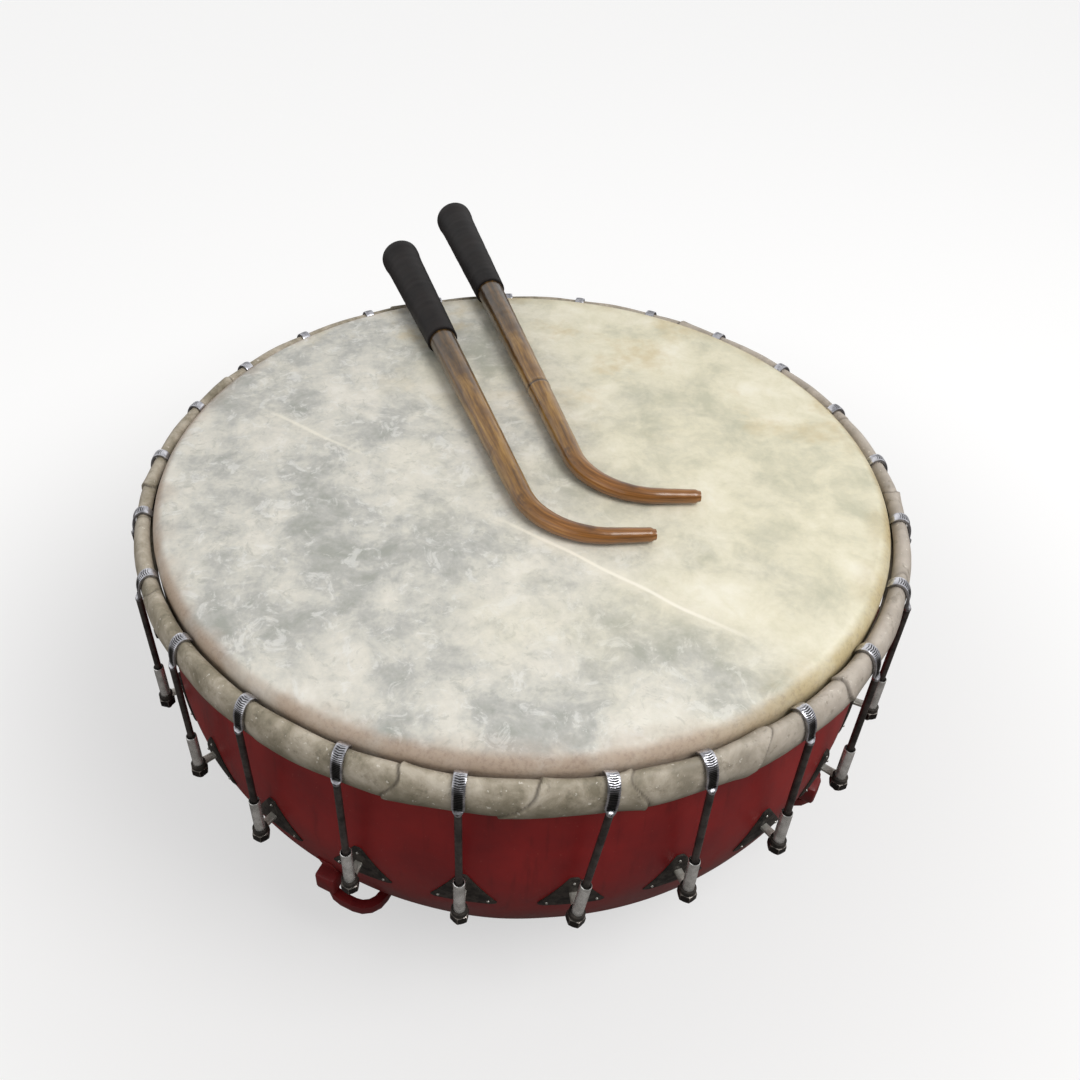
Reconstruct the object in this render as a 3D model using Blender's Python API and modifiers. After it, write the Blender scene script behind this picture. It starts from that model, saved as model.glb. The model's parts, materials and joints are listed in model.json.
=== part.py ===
"""Nagara: a large kettle drum, played with two bent canes.

A painted bowl carries a hide head. The hide's rim is lapped round a hoop, and hooks over that
roll draw it down: each hook ends in a threaded rod that runs through a lug on the bowl, with a
tuning nut below the lug.

Metres, +Z up. The origin is on the floor at the centre of the bowl's flat base. The front is
towards -Y, and azimuths are counted in degrees from the front towards +X.
"""

import math

import bmesh
import bpy
from mathutils import Matrix, Vector

CLEARANCE = 0.0003

# Bowl: its edge is the bearing edge, on which the hide rests
BOWL_HEIGHT = 0.330
EDGE_RADIUS = 0.3265
EDGE_ROUND = 0.011
BELLY_BULGE = 0.0065
BELLY_BELOW_EDGE = 0.140
BASE_RADIUS = 0.146
BOWL_WALL = 0.006
RIM_WALL = 0.014
RIM_BAND = 0.034
RIM_STEP = 0.012

# Head: the hide's lap makes an oval roll round the hoop. Its angles are those of the circle that
# the oval is drawn from, counted from outwards to upwards
HIDE_THICKNESS = 0.002
SKIRT_GAP = 0.0007
HOOP_BELOW_EDGE = 0.0236
LAP_HALF_WIDTH = 0.0085
LAP_HALF_HEIGHT = 0.0175
LAP_THICKNESS = 0.0030
LAP_START_ANGLE = 165.0
LAP_FOLD_ANGLE = 202.0
LAP_ROOT_ANGLE = 210.0
LAP_END_ANGLE = 140.0

# Hooks, lugs and nuts
HOOK_COUNT = 25
FIRST_HOOK_AZIMUTH = 4.0
LEANING_HOOK = 0
LEAN_OFFSET = 0.015
ROD_RADIUS = 0.0028
ROD_BELOW_NUT = 0.0065
CLAW_WIDTH = 0.0092
CLAW_THICKNESS = 0.0025
CLAW_TIP_WIDTH = 0.0078
CLAW_TIP_THICKNESS = 0.0014
CLAW_TIP_ANGLE = 140.0
CLAW_TIP_TAPER = 50.0
CLAW_NECK = 0.0052
LUG_BELOW_EDGE = 0.1505
BORE_CLEARANCE = 0.0008
TUBE_WALL = 0.0009
TUBE_LENGTH = 0.036
BAR_WIDTH = 0.0070
BAR_THICKNESS = 0.0035
EYE_FLANGE = 0.0018
EYE_PROUD = 0.0005
PLATE_WIDTH = 0.054
PLATE_APEX_WIDTH = 0.006
PLATE_CORNER_HEIGHT = 0.004
PLATE_CORNER_CUT = 0.0022
PLATE_ABOVE = 0.0185
PLATE_BELOW = 0.0205
PLATE_PROUD = 0.0016
NUT_ACROSS_FLATS = 0.013
NUT_HEIGHT = 0.0075

# Strap loops: heights are counted down from the bowl's edge, reaches out from its belly
LOOP_AZIMUTHS = (-28.5, 55.0)
LOOP_BELOW_EDGE = 0.244
LOOP_BAR_HEIGHT = 0.009
LOOP_BAR_DEPTH = 0.008
LOOP_LENGTH = 0.056
LOOP_SET_BACK = 0.003
LOOP_CORNER = 0.022
BOSS_LENGTH = 0.019
BOSS_HEIGHT = 0.020
BOSS_GAP = 0.006
BOSS_PROUD = 0.002
BOSS_BEVEL = 0.003
PAD_ABOVE_BOSS = 0.018
PAD_PROUD = 0.0022
PAD_INSET = 0.002

# Sticks: each has its butt's X, its distance past the bowl's edge, its heading and its straight
STICK_PLACES = ((-0.1096, 0.0633, -76.05, 0.461), (-0.0414, 0.1716, -79.39, 0.510))
STICK_BEND_RADIUS = 0.073
STICK_BEND_ANGLE = 76.5
STICK_TIP_LENGTH = 0.036
STICK_BUTT_RADIUS = 0.0175
STICK_BEND_START_RADIUS = 0.0096
STICK_TIP_RADIUS = 0.0060
GRIP_LENGTH = 0.200
GRIP_BUTT_WALL = 0.0034
GRIP_FRONT_WALL = 0.0018
GRIP_EDGE = 0.003
GRIP_LIP = 0.001

# Facets
RING_STEPS = 50
ROUND_STEPS = 12
EDGE_STEPS = 4
WALL_STEPS = 4
OUTER_STEPS = 8
INNER_STEPS = 6
LAP_STEPS = 11
HOOP_SECTION_STEPS = 8
HOOK_SIDES = 8
CLAW_STEPS = 6
LOOP_CORNER_STEPS = 4
STRAIGHT_STEPS = 6
BEND_STEPS = 8
GRIP_STEPS = 16

BELLY_RADIUS = EDGE_RADIUS + BELLY_BULGE
BELLY_HEIGHT = BOWL_HEIGHT - BELLY_BELOW_EDGE
BAND_FOOT = BOWL_HEIGHT - RIM_BAND
HOOP_CIRCLE_RADIUS = EDGE_RADIUS + CLEARANCE + HIDE_THICKNESS + SKIRT_GAP + LAP_HALF_WIDTH
HOOP_HEIGHT = BOWL_HEIGHT - HOOP_BELOW_EDGE
HEAD_TOP = BOWL_HEIGHT + CLEARANCE + HIDE_THICKNESS
CLAW_CHORD = math.cos(math.radians(CLAW_TIP_ANGLE / CLAW_STEPS / 2))
CLAW_HALF_WIDTH = (LAP_HALF_WIDTH + CLEARANCE) / CLAW_CHORD
CLAW_HALF_HEIGHT = (LAP_HALF_HEIGHT + CLEARANCE) / CLAW_CHORD
ROD_AXIS_RADIUS = HOOP_CIRCLE_RADIUS + CLAW_HALF_WIDTH + CLAW_THICKNESS
BORE_RADIUS = ROD_RADIUS + BORE_CLEARANCE
TUBE_RADIUS = BORE_RADIUS + TUBE_WALL
EYE_RADIUS = TUBE_RADIUS + EYE_FLANGE
LUG_HEIGHT = BOWL_HEIGHT - LUG_BELOW_EDGE
NUT_TOP = LUG_HEIGHT - BAR_THICKNESS - EYE_PROUD - CLEARANCE
NUT_CENTRE = NUT_TOP - NUT_HEIGHT / 2
ROD_END = NUT_TOP - NUT_HEIGHT - ROD_BELOW_NUT


def clear_scene():
    for old in list(bpy.data.objects):
        bpy.data.objects.remove(old, do_unlink=True)


def make_collection(name):
    collection = bpy.data.collections.new(name)
    bpy.context.scene.collection.children.link(collection)
    return collection


def make_material(name, colour, roughness, metallic=0.0):
    material = bpy.data.materials.new(name)
    material.use_nodes = True
    shader = material.node_tree.nodes["Principled BSDF"]
    shader.inputs["Base Color"].default_value = (*colour, 1.0)
    shader.inputs["Roughness"].default_value = roughness
    shader.inputs["Metallic"].default_value = metallic
    return material


def add_object(name, mesh, collection, material=None, matrix=None):
    obj = bpy.data.objects.new(name, mesh)
    collection.objects.link(obj)
    if material is not None:
        mesh.materials.clear()
        mesh.materials.append(material)
    if matrix is not None:
        obj.matrix_world = matrix
    return obj


def smooth(obj, sharp_angle=35.0):
    obj.data.shade_smooth()
    obj.data.set_sharp_from_angle(angle=math.radians(sharp_angle))


def baked(obj):
    """The object's mesh with its modifiers applied, in its own frame, with loose seams welded."""
    graph = bpy.context.evaluated_depsgraph_get()
    mesh = bpy.data.meshes.new_from_object(obj.evaluated_get(graph))
    shape = bmesh.new()
    shape.from_mesh(mesh)
    bmesh.ops.remove_doubles(shape, verts=shape.verts, dist=1e-6)
    shape.to_mesh(mesh)
    shape.free()
    return mesh


def combine(target, others, operation):
    """Joins the others to the target, or cuts them from it, and removes them."""
    for other in others:
        modifier = target.modifiers.new(operation.title(), "BOOLEAN")
        modifier.operation = operation
        modifier.solver = "EXACT"
        modifier.object = other
    target.data = baked(target)
    target.modifiers.clear()
    for other in others:
        bpy.data.objects.remove(other, do_unlink=True)


def oval(centre, half_width, half_height, start, end, steps):
    """Points round an oval in the profile's plane, ends included, by the angles in degrees of the
    circle that it is drawn from."""
    points = []
    for i in range(steps + 1):
        angle = math.radians(start + (end - start) * i / steps)
        points.append((centre[0] + half_width * math.cos(angle), centre[1] + half_height * math.sin(angle)))
    return points


def arc(centre, radius, start, end, steps):
    return oval(centre, radius, radius, start, end, steps)


def turned(name, profile, collection, material=None, steps=RING_STEPS, closed=False):
    """Turns a profile of (radius, height) points about Z."""
    mesh = bpy.data.meshes.new(name)
    edges = [(i, i + 1) for i in range(len(profile) - 1)]
    if closed:
        edges.append((len(profile) - 1, 0))
    mesh.from_pydata([(r, 0.0, z) for r, z in profile], edges, [])
    obj = add_object(name, mesh, collection)
    screw = obj.modifiers.new("Turn", "SCREW")
    screw.steps = steps
    screw.render_steps = steps
    screw.use_merge_vertices = True
    screw.merge_threshold = 1e-5
    obj.data = baked(obj)
    obj.modifiers.clear()
    if material is not None:
        obj.data.materials.append(material)
    return obj


def cylinder(name, radius, bottom, top, collection, segments=ROUND_STEPS):
    mesh = bpy.data.meshes.new(name)
    shape = bmesh.new()
    place = Matrix.Translation((0.0, 0.0, (bottom + top) / 2))
    bmesh.ops.create_cone(shape, cap_ends=True, segments=segments, radius1=radius,
                          radius2=radius, depth=top - bottom, matrix=place)
    shape.to_mesh(mesh)
    shape.free()
    return add_object(name, mesh, collection)


def box(name, low, high, collection):
    mesh = bpy.data.meshes.new(name)
    shape = bmesh.new()
    low, high = Vector(low), Vector(high)
    size = Matrix.Diagonal((*(high - low), 1.0))
    bmesh.ops.create_cube(shape, size=1.0, matrix=Matrix.Translation((low + high) / 2) @ size)
    shape.to_mesh(mesh)
    shape.free()
    return add_object(name, mesh, collection)


def extruded(name, outline, thickness, collection):
    """A flat outline in XY, raised from Z = 0 to its thickness."""
    curve = bpy.data.curves.new(name, "CURVE")
    curve.dimensions = "2D"
    curve.fill_mode = "BOTH"
    curve.extrude = thickness / 2
    spline = curve.splines.new("POLY")
    spline.points.add(len(outline) - 1)
    for point, (x, y) in zip(spline.points, outline):
        point.co = (x, y, 0.0, 1.0)
    spline.use_cyclic_u = True
    drawn = bpy.data.objects.new(name, curve)
    collection.objects.link(drawn)
    mesh = baked(drawn)
    bpy.data.objects.remove(drawn, do_unlink=True)
    mesh.transform(Matrix.Translation((0.0, 0.0, thickness / 2)))
    return add_object(name, mesh, collection)


def station(azimuth):
    """A frame on the drum's axis whose X points outwards at this azimuth, in degrees."""
    return Matrix.Rotation(math.radians(azimuth - 90.0), 4, "Z")


def hook_azimuth(index):
    return FIRST_HOOK_AZIMUTH + 360.0 * index / HOOK_COUNT


def claw_offset(index):
    """One rod leans, because its claw sits a little further round the roll than its lug."""
    return LEAN_OFFSET if index == LEANING_HOOK else 0.0


def rod_direction(offset):
    """Up a rod, seen from its station: from the lug's eye to the claw, both at one radius."""
    outwards = math.sqrt(ROD_AXIS_RADIUS ** 2 - offset ** 2) - ROD_AXIS_RADIUS
    return Vector((outwards, offset, HOOP_HEIGHT - LUG_HEIGHT)).normalized()


def rod_place(offset):
    """A frame on the rod axis, seen from its station: Z runs up the rod from the lug's eye."""
    foot = Matrix.Translation((ROD_AXIS_RADIUS, 0.0, LUG_HEIGHT))
    turn = Vector((0.0, 0.0, 1.0)).rotation_difference(rod_direction(offset))
    return foot @ turn.to_matrix().to_4x4()


def claw_place(offset):
    """The claw on its rod: clear of the roll at both edges of the strap, and turned about the
    rod so that it still points at the drum's axis."""
    up = rod_direction(offset)
    lean = math.sqrt(1.0 - min(1.0, up.z * up.z))
    distance = (HOOP_HEIGHT - LUG_HEIGHT) / up.z + CLAW_WIDTH / 2 * lean
    turn = Matrix.Rotation(math.asin(offset / ROD_AXIS_RADIUS), 4, "Z")
    return rod_place(offset) @ Matrix.Translation((0.0, 0.0, distance)) @ turn


def bowl_radius(height, inset=0.0):
    """The bowl's outer radius at this height, less an inset measured square to the axis."""
    if height >= BELLY_HEIGHT:
        share = min(1.0, (height - BELLY_HEIGHT) / (BAND_FOOT - BELLY_HEIGHT))
        drawn_in = (BELLY_RADIUS - EDGE_RADIUS) * (1 - math.cos(math.pi * share)) / 2
        return BELLY_RADIUS - drawn_in - inset
    depth = (BELLY_HEIGHT - height) / (BELLY_HEIGHT - inset)
    reach = BELLY_RADIUS - inset - BASE_RADIUS
    return BASE_RADIUS + reach * math.sqrt(max(0.0, 1.0 - depth * depth))


def lower_curve(inset, steps):
    """The bowl's quarter ellipse from its belly down to its flat base, drawn in by an inset."""
    points = []
    for i in range(steps + 1):
        angle = math.pi / 2 * i / steps
        radius = BASE_RADIUS + (BELLY_RADIUS - inset - BASE_RADIUS) * math.cos(angle)
        points.append((radius, BELLY_HEIGHT - (BELLY_HEIGHT - inset) * math.sin(angle)))
    return points


def outer_wall(proud=0.0):
    """The bowl's outer side from its straight rim band down to the flat base."""
    points = []
    for i in range(WALL_STEPS):
        height = BAND_FOOT + (BELLY_HEIGHT - BAND_FOOT) * i / WALL_STEPS
        points.append((bowl_radius(height) + proud, height))
    return points + lower_curve(-proud, OUTER_STEPS)


def make_bowl(collection, material):
    """A thin bowl whose wall thickens inwards at the rim, up to the rounded bearing edge."""
    inner_rim = EDGE_RADIUS - RIM_WALL
    shoulder = (BELLY_HEIGHT + BAND_FOOT) / 2
    profile = [(0.0, BOWL_WALL)]
    profile += reversed(lower_curve(BOWL_WALL, INNER_STEPS))
    profile.append((bowl_radius(shoulder, BOWL_WALL), shoulder))
    profile.append((EDGE_RADIUS - BOWL_WALL, BAND_FOOT - RIM_STEP))
    profile.append((inner_rim, BAND_FOOT))
    profile.append((inner_rim, BOWL_HEIGHT))
    profile += arc((EDGE_RADIUS - EDGE_ROUND, BOWL_HEIGHT - EDGE_ROUND), EDGE_ROUND, 90.0, 0.0, EDGE_STEPS)
    profile += outer_wall()
    profile.append((0.0, 0.0))
    return turned("kettle_bowl", profile, collection, material)


def plate_outline():
    """A lug's plate, seen from outside: a triangle on its long edge, its corners cut off."""
    right = [(PLATE_WIDTH / 2, -PLATE_BELOW),
             (PLATE_WIDTH / 2 - PLATE_CORNER_CUT, PLATE_CORNER_HEIGHT - PLATE_BELOW),
             (PLATE_APEX_WIDTH / 2, PLATE_ABOVE)]
    return right + [(-x, y) for x, y in reversed(right)]


def lug_mesh(offset, collection):
    """One lug in its station's frame: plate, bar with its eye, and tube, joined and bored."""
    lug = extruded("lug", plate_outline(), BOWL_WALL, collection)
    facing_out = Matrix(((0, 0, 1, 0), (1, 0, 0, 0), (0, 1, 0, 0), (0, 0, 0, 1)))
    back = BELLY_RADIUS + PLATE_PROUD - BOWL_WALL
    lug.data.transform(Matrix.Translation((back, 0.0, LUG_HEIGHT)) @ facing_out)
    bar = box("lug_bar", (BELLY_RADIUS - BOWL_WALL / 2, -BAR_WIDTH / 2, LUG_HEIGHT - BAR_THICKNESS),
              (ROD_AXIS_RADIUS, BAR_WIDTH / 2, LUG_HEIGHT), collection)
    eye = cylinder("lug_eye", EYE_RADIUS, -BAR_THICKNESS - EYE_PROUD, EYE_PROUD, collection)
    tube = cylinder("lug_tube", TUBE_RADIUS, -BAR_THICKNESS / 2, TUBE_LENGTH, collection)
    bore = cylinder("lug_bore", BORE_RADIUS, -3 * BAR_THICKNESS, TUBE_LENGTH + BAR_THICKNESS, collection)
    for piece in (eye, tube, bore):
        piece.data.transform(rod_place(offset))
    combine(lug, (bar, eye, tube), "UNION")
    combine(lug, (bore,), "DIFFERENCE")
    mesh = lug.data
    bpy.data.objects.remove(lug, do_unlink=True)
    return mesh


def make_lugs(collection):
    """Every lug, each one body, as one mesh in the drum's frame."""
    upright = lug_mesh(0.0, collection)
    leaning = lug_mesh(claw_offset(LEANING_HOOK), collection)
    together = bmesh.new()
    for index in range(HOOK_COUNT):
        placed = (leaning if index == LEANING_HOOK else upright).copy()
        placed.transform(station(hook_azimuth(index)))
        together.from_mesh(placed)
        bpy.data.meshes.remove(placed)
    mesh = bpy.data.meshes.new("lugs")
    together.to_mesh(mesh)
    together.free()
    return add_object("lugs", mesh, collection)


def make_head(collection, material):
    """The hide: a flat head, a skirt outside the bearing edge, and a lap round the hoop."""
    hoop = (HOOP_CIRCLE_RADIUS, HOOP_HEIGHT)
    edge = (EDGE_RADIUS - EDGE_ROUND, BOWL_HEIGHT - EDGE_ROUND)
    skirt_inside = EDGE_RADIUS + CLEARANCE
    skirt_outside = skirt_inside + HIDE_THICKNESS
    lap = (LAP_HALF_WIDTH, LAP_HALF_HEIGHT)
    lap_inside = (LAP_HALF_WIDTH - LAP_THICKNESS, LAP_HALF_HEIGHT - LAP_THICKNESS)
    under_round = EDGE_ROUND + CLEARANCE
    profile = [(0.0, HEAD_TOP)]
    profile += arc(edge, under_round + HIDE_THICKNESS, 90.0, 0.0, EDGE_STEPS)
    profile.append((skirt_outside, HOOP_HEIGHT + LAP_HALF_HEIGHT * math.sin(math.radians(LAP_START_ANGLE))))
    profile += oval(hoop, *lap_inside, LAP_START_ANGLE, 360.0 + LAP_END_ANGLE, LAP_STEPS)
    profile += oval(hoop, *lap, 360.0 + LAP_END_ANGLE, LAP_FOLD_ANGLE, LAP_STEPS)
    profile.append((skirt_inside, HOOP_HEIGHT + LAP_HALF_HEIGHT * math.sin(math.radians(LAP_ROOT_ANGLE))))
    profile += arc(edge, under_round, 0.0, 90.0, EDGE_STEPS)
    profile.append((0.0, BOWL_HEIGHT + CLEARANCE))
    return turned("hide_head", profile, collection, material)


def make_hoop(collection, material):
    """The hoop, an oval ring that clears the flats of the lap's inside."""
    chord = math.cos(math.radians((360.0 + LAP_END_ANGLE - LAP_START_ANGLE) / LAP_STEPS / 2))
    half_width = (LAP_HALF_WIDTH - LAP_THICKNESS) * chord - CLEARANCE
    half_height = (LAP_HALF_HEIGHT - LAP_THICKNESS) * chord - CLEARANCE
    centre = (HOOP_CIRCLE_RADIUS, HOOP_HEIGHT)
    section = oval(centre, half_width, half_height, 360.0, 0.0, HOOP_SECTION_STEPS)[:-1]
    return turned("flesh_hoop", section, collection, material, closed=True)


def ring_of(centre, across, out, width, thickness):
    """Points of a section, square to the path: an oblong, or a round where it is as thick as wide."""
    flat = 1.0 - min(1.0, thickness / width)
    points = []
    for i in range(HOOK_SIDES):
        angle = 2 * math.pi * (i + 0.5) / HOOK_SIDES
        x, y = math.cos(angle), math.sin(angle)
        square = 1.0 / max(abs(x), abs(y))
        stretch = 1.0 + flat * (square - 1.0)
        points.append(centre + out * (x * stretch * thickness / 2) + across * (y * stretch * width / 2))
    return points


def hook_mesh():
    """A hook in its rod's frame: the roll's centre is at Z = 0, and the claw curls towards -X."""
    across = Vector((0.0, 1.0, 0.0))
    roll = Vector((HOOP_CIRCLE_RADIUS - ROD_AXIS_RADIUS, 0.0, 0.0))
    rings = []
    for i in range(CLAW_STEPS + 1):
        angle = CLAW_TIP_ANGLE * (1.0 - i / CLAW_STEPS)
        tip_share = min(1.0, (CLAW_TIP_ANGLE - angle) / CLAW_TIP_TAPER)
        thickness = CLAW_TIP_THICKNESS + (CLAW_THICKNESS - CLAW_TIP_THICKNESS) * tip_share
        width = CLAW_TIP_WIDTH + (CLAW_WIDTH - CLAW_TIP_WIDTH) * tip_share
        turn = math.radians(angle)
        inside = Vector((CLAW_HALF_WIDTH * math.cos(turn), 0.0, CLAW_HALF_HEIGHT * math.sin(turn)))
        out = Vector((CLAW_HALF_HEIGHT * math.cos(turn), 0.0, CLAW_HALF_WIDTH * math.sin(turn)))
        out.normalize()
        centre = roll + inside + out * thickness / 2
        rings.append(ring_of(centre, across, out, width, thickness))
    strap_x = -CLAW_THICKNESS / 2
    along = Vector((1.0, 0.0, 0.0))
    rod = 2 * ROD_RADIUS
    for share in (0.4, 1.0):
        centre = Vector((strap_x * (1.0 - share), 0.0, -CLAW_NECK * share))
        width = CLAW_WIDTH + (rod - CLAW_WIDTH) * share
        thickness = CLAW_THICKNESS + (rod - CLAW_THICKNESS) * share
        rings.append(ring_of(centre, across, along, width, thickness))
    end = Vector((0.0, 0.0, ROD_END - HOOP_HEIGHT))
    rings.append(ring_of(end, across, along, rod, rod))
    mesh = bpy.data.meshes.new("tuning_hook")
    shape = bmesh.new()
    loops = [[shape.verts.new(point) for point in ring] for ring in rings]
    for upper, lower in zip(loops, loops[1:]):
        for i in range(HOOK_SIDES):
            j = (i + 1) % HOOK_SIDES
            shape.faces.new((upper[i], upper[j], lower[j], lower[i]))
    shape.faces.new(reversed(loops[0]))
    shape.faces.new(loops[-1])
    bmesh.ops.recalc_face_normals(shape, faces=shape.faces)
    shape.to_mesh(mesh)
    shape.free()
    return mesh


def nut_mesh(collection):
    """A hexagon nut about its own centre, bored to clear the rod."""
    corner = NUT_ACROSS_FLATS / math.sqrt(3)
    nut = cylinder("nut_blank", corner, -NUT_HEIGHT / 2, NUT_HEIGHT / 2, collection, segments=6)
    bore = cylinder("nut_bore", BORE_RADIUS, -NUT_HEIGHT, NUT_HEIGHT, collection)
    combine(nut, (bore,), "DIFFERENCE")
    mesh = nut.data
    bpy.data.objects.remove(nut, do_unlink=True)
    return mesh


def make_hooks(collection, cutters, hook_material, nut_material):
    hook = hook_mesh()
    nut = nut_mesh(cutters)
    for index in range(HOOK_COUNT):
        here = station(hook_azimuth(index))
        offset = claw_offset(index)
        number = index + 1
        at_claw = here @ claw_place(offset)
        at_nut = here @ rod_place(offset) @ Matrix.Translation((0.0, 0.0, NUT_CENTRE - LUG_HEIGHT))
        smooth(add_object(f"tuning_hook_{number:02d}", hook, collection, hook_material, at_claw))
        add_object(f"tuning_nut_{number:02d}", nut, collection, nut_material, at_nut)


def loop_outline():
    """The loop seen from above: a bar with rounded corners and two arms that run into the bowl."""
    half = LOOP_LENGTH / 2
    reach = BELLY_RADIUS - LOOP_SET_BACK
    inside = reach - LOOP_BAR_DEPTH
    root = BASE_RADIUS
    outer = arc((reach - LOOP_CORNER, half - LOOP_CORNER), LOOP_CORNER, 90.0, 0.0, LOOP_CORNER_STEPS)
    outer += arc((reach - LOOP_CORNER, LOOP_CORNER - half), LOOP_CORNER, 0.0, -90.0, LOOP_CORNER_STEPS)
    corner = LOOP_CORNER - LOOP_BAR_DEPTH
    gap = half - LOOP_BAR_DEPTH
    inner = arc((inside - corner, corner - gap), corner, -90.0, 0.0, LOOP_CORNER_STEPS)
    inner += arc((inside - corner, gap - corner), corner, 0.0, 90.0, LOOP_CORNER_STEPS)
    return [(root, half)] + outer + [(root, -half), (root, -gap)] + inner + [(root, gap)]


def bowl_solid(proud, azimuth, collection):
    """The bowl's outer shape, filled and standing proud of its wall, in a station's frame."""
    profile = [(0.0, BOWL_HEIGHT), (bowl_radius(BOWL_HEIGHT) + proud, BOWL_HEIGHT)]
    profile += outer_wall(proud)
    profile.append((0.0, -proud))
    solid = turned("bowl_solid", profile, collection)
    solid.data.transform(station(azimuth).inverted())
    return solid


def make_loop(number, azimuth, collection, cutters, material):
    """A moulded strap loop, bonded to the bowl: a bar stood off the wall, a boss above one of its
    ends, and a low pad on the wall that joins the two."""
    name = f"strap_loop_{number}"
    bottom = BOWL_HEIGHT - LOOP_BELOW_EDGE
    boss_bottom = bottom + LOOP_BAR_HEIGHT + BOSS_GAP
    boss_top = boss_bottom + BOSS_HEIGHT
    half = LOOP_LENGTH / 2
    loop = extruded(name, loop_outline(), LOOP_BAR_HEIGHT, cutters)
    loop.data.transform(Matrix.Translation((0.0, 0.0, bottom)))
    boss = box("loop_boss", (BASE_RADIUS, -half, boss_bottom),
               (BELLY_RADIUS - LOOP_SET_BACK + BOSS_PROUD, BOSS_LENGTH - half, boss_top), cutters)
    bevel = boss.modifiers.new("Soft edges", "BEVEL")
    bevel.width = BOSS_BEVEL
    bevel.segments = 2
    boss.data = baked(boss)
    boss.modifiers.clear()
    pad = box("loop_pad", (BASE_RADIUS, PAD_INSET - half, bottom + PAD_INSET),
              (BELLY_RADIUS, BOSS_LENGTH - half - PAD_INSET, boss_top + PAD_ABOVE_BOSS), cutters)
    combine(pad, (bowl_solid(PAD_PROUD, azimuth, cutters),), "INTERSECT")
    combine(loop, (boss, pad), "UNION")
    combine(loop, (bowl_solid(CLEARANCE, azimuth, cutters),), "DIFFERENCE")
    mesh = loop.data
    bpy.data.objects.remove(loop, do_unlink=True)
    smooth(add_object(name, mesh, collection, material, station(azimuth)))


def stick_path(straight):
    """A cane's centre line in its own frame, from the butt along X, bending towards +Y, as points
    (x, y, radius). It tapers slowly down its straight and faster from its bend to its tip."""
    points = [(straight * i / STRAIGHT_STEPS, 0.0) for i in range(STRAIGHT_STEPS)]
    points += arc((straight, STICK_BEND_RADIUS), STICK_BEND_RADIUS, -90.0, STICK_BEND_ANGLE - 90.0,
                  BEND_STEPS)
    turn = math.radians(STICK_BEND_ANGLE)
    x, y = points[-1]
    points.append((x + STICK_TIP_LENGTH * math.cos(turn), y + STICK_TIP_LENGTH * math.sin(turn)))
    beyond = STICK_BEND_RADIUS * turn + STICK_TIP_LENGTH
    path = []
    walked = 0.0
    for i, point in enumerate(points):
        if i:
            walked += math.dist(points[i - 1], point)
        share = max(0.0, (walked - straight) / beyond)
        radius = shaft_radius(min(walked, straight), straight)
        path.append((*point, radius + (STICK_TIP_RADIUS - STICK_BEND_START_RADIUS) * share))
    return path


def shaft_radius(distance, straight):
    return STICK_BUTT_RADIUS + (STICK_BEND_START_RADIUS - STICK_BUTT_RADIUS) * distance / straight


def grip_bore(distance, straight):
    """The corners of a bore whose flats clear the cane."""
    return (shaft_radius(distance, straight) + CLEARANCE) / math.cos(math.pi / GRIP_STEPS)


def grip_radius(distance, straight):
    wall = GRIP_BUTT_WALL + (GRIP_FRONT_WALL - GRIP_BUTT_WALL) * distance / GRIP_LENGTH
    return grip_bore(distance, straight) + wall


def stick_frame(butt_x, past_edge, heading, straight):
    """Lays a stick on the head. Its grip rests where it crosses the edge of the flat, and it tips
    down until the first point beyond meets the hide."""
    angle = math.radians(heading)
    start = Vector((butt_x, EDGE_RADIUS + past_edge))
    flat_radius = EDGE_RADIUS - EDGE_ROUND
    along = -start.dot(Vector((math.cos(angle), math.sin(angle))))
    beside = math.sqrt(start.length_squared - along * along)
    crossing = along - math.sqrt(flat_radius * flat_radius - beside * beside)
    support = grip_radius(crossing, straight)
    slope = (grip_radius(0.0, straight) - support) / crossing
    for x, _, radius in stick_path(straight):
        if x > GRIP_LENGTH:
            slope = min(slope, (support - radius) / (x - crossing))
    tilt = math.asin(slope)
    height = HEAD_TOP + CLEARANCE + support / math.cos(tilt) + crossing * math.tan(tilt)
    lift = Matrix.Translation((start.x, start.y, height))
    return lift @ Matrix.Rotation(angle, 4, "Z") @ Matrix.Rotation(tilt, 4, "Y")


def cane_mesh(straight, collection):
    curve = bpy.data.curves.new("cane", "CURVE")
    curve.dimensions = "3D"
    curve.bevel_depth = 1.0
    curve.bevel_resolution = 3
    curve.use_fill_caps = True
    path = stick_path(straight)
    spline = curve.splines.new("POLY")
    spline.points.add(len(path) - 1)
    for point, (x, y, radius) in zip(spline.points, path):
        point.co = (x, y, 0.0, 1.0)
        point.radius = radius
    drawn = bpy.data.objects.new("cane", curve)
    collection.objects.link(drawn)
    mesh = baked(drawn)
    bpy.data.objects.remove(drawn, do_unlink=True)
    return mesh


def grip_mesh(straight, collection):
    """A tapered sleeve along X, from the butt end, bored to clear the cane."""
    profile = [(grip_bore(0.0, straight), 0.0),
               (grip_bore(GRIP_LENGTH, straight), GRIP_LENGTH),
               (grip_radius(GRIP_LENGTH, straight) - GRIP_LIP, GRIP_LENGTH),
               (grip_radius(GRIP_LENGTH, straight), GRIP_LENGTH - GRIP_EDGE),
               (grip_radius(GRIP_EDGE, straight), GRIP_EDGE),
               (grip_radius(0.0, straight) - GRIP_EDGE, 0.0)]
    sleeve = turned("grip", profile, collection, steps=GRIP_STEPS, closed=True)
    mesh = sleeve.data
    bpy.data.objects.remove(sleeve, do_unlink=True)
    mesh.transform(Matrix.Rotation(math.radians(90.0), 4, "Y"))
    return mesh


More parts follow.
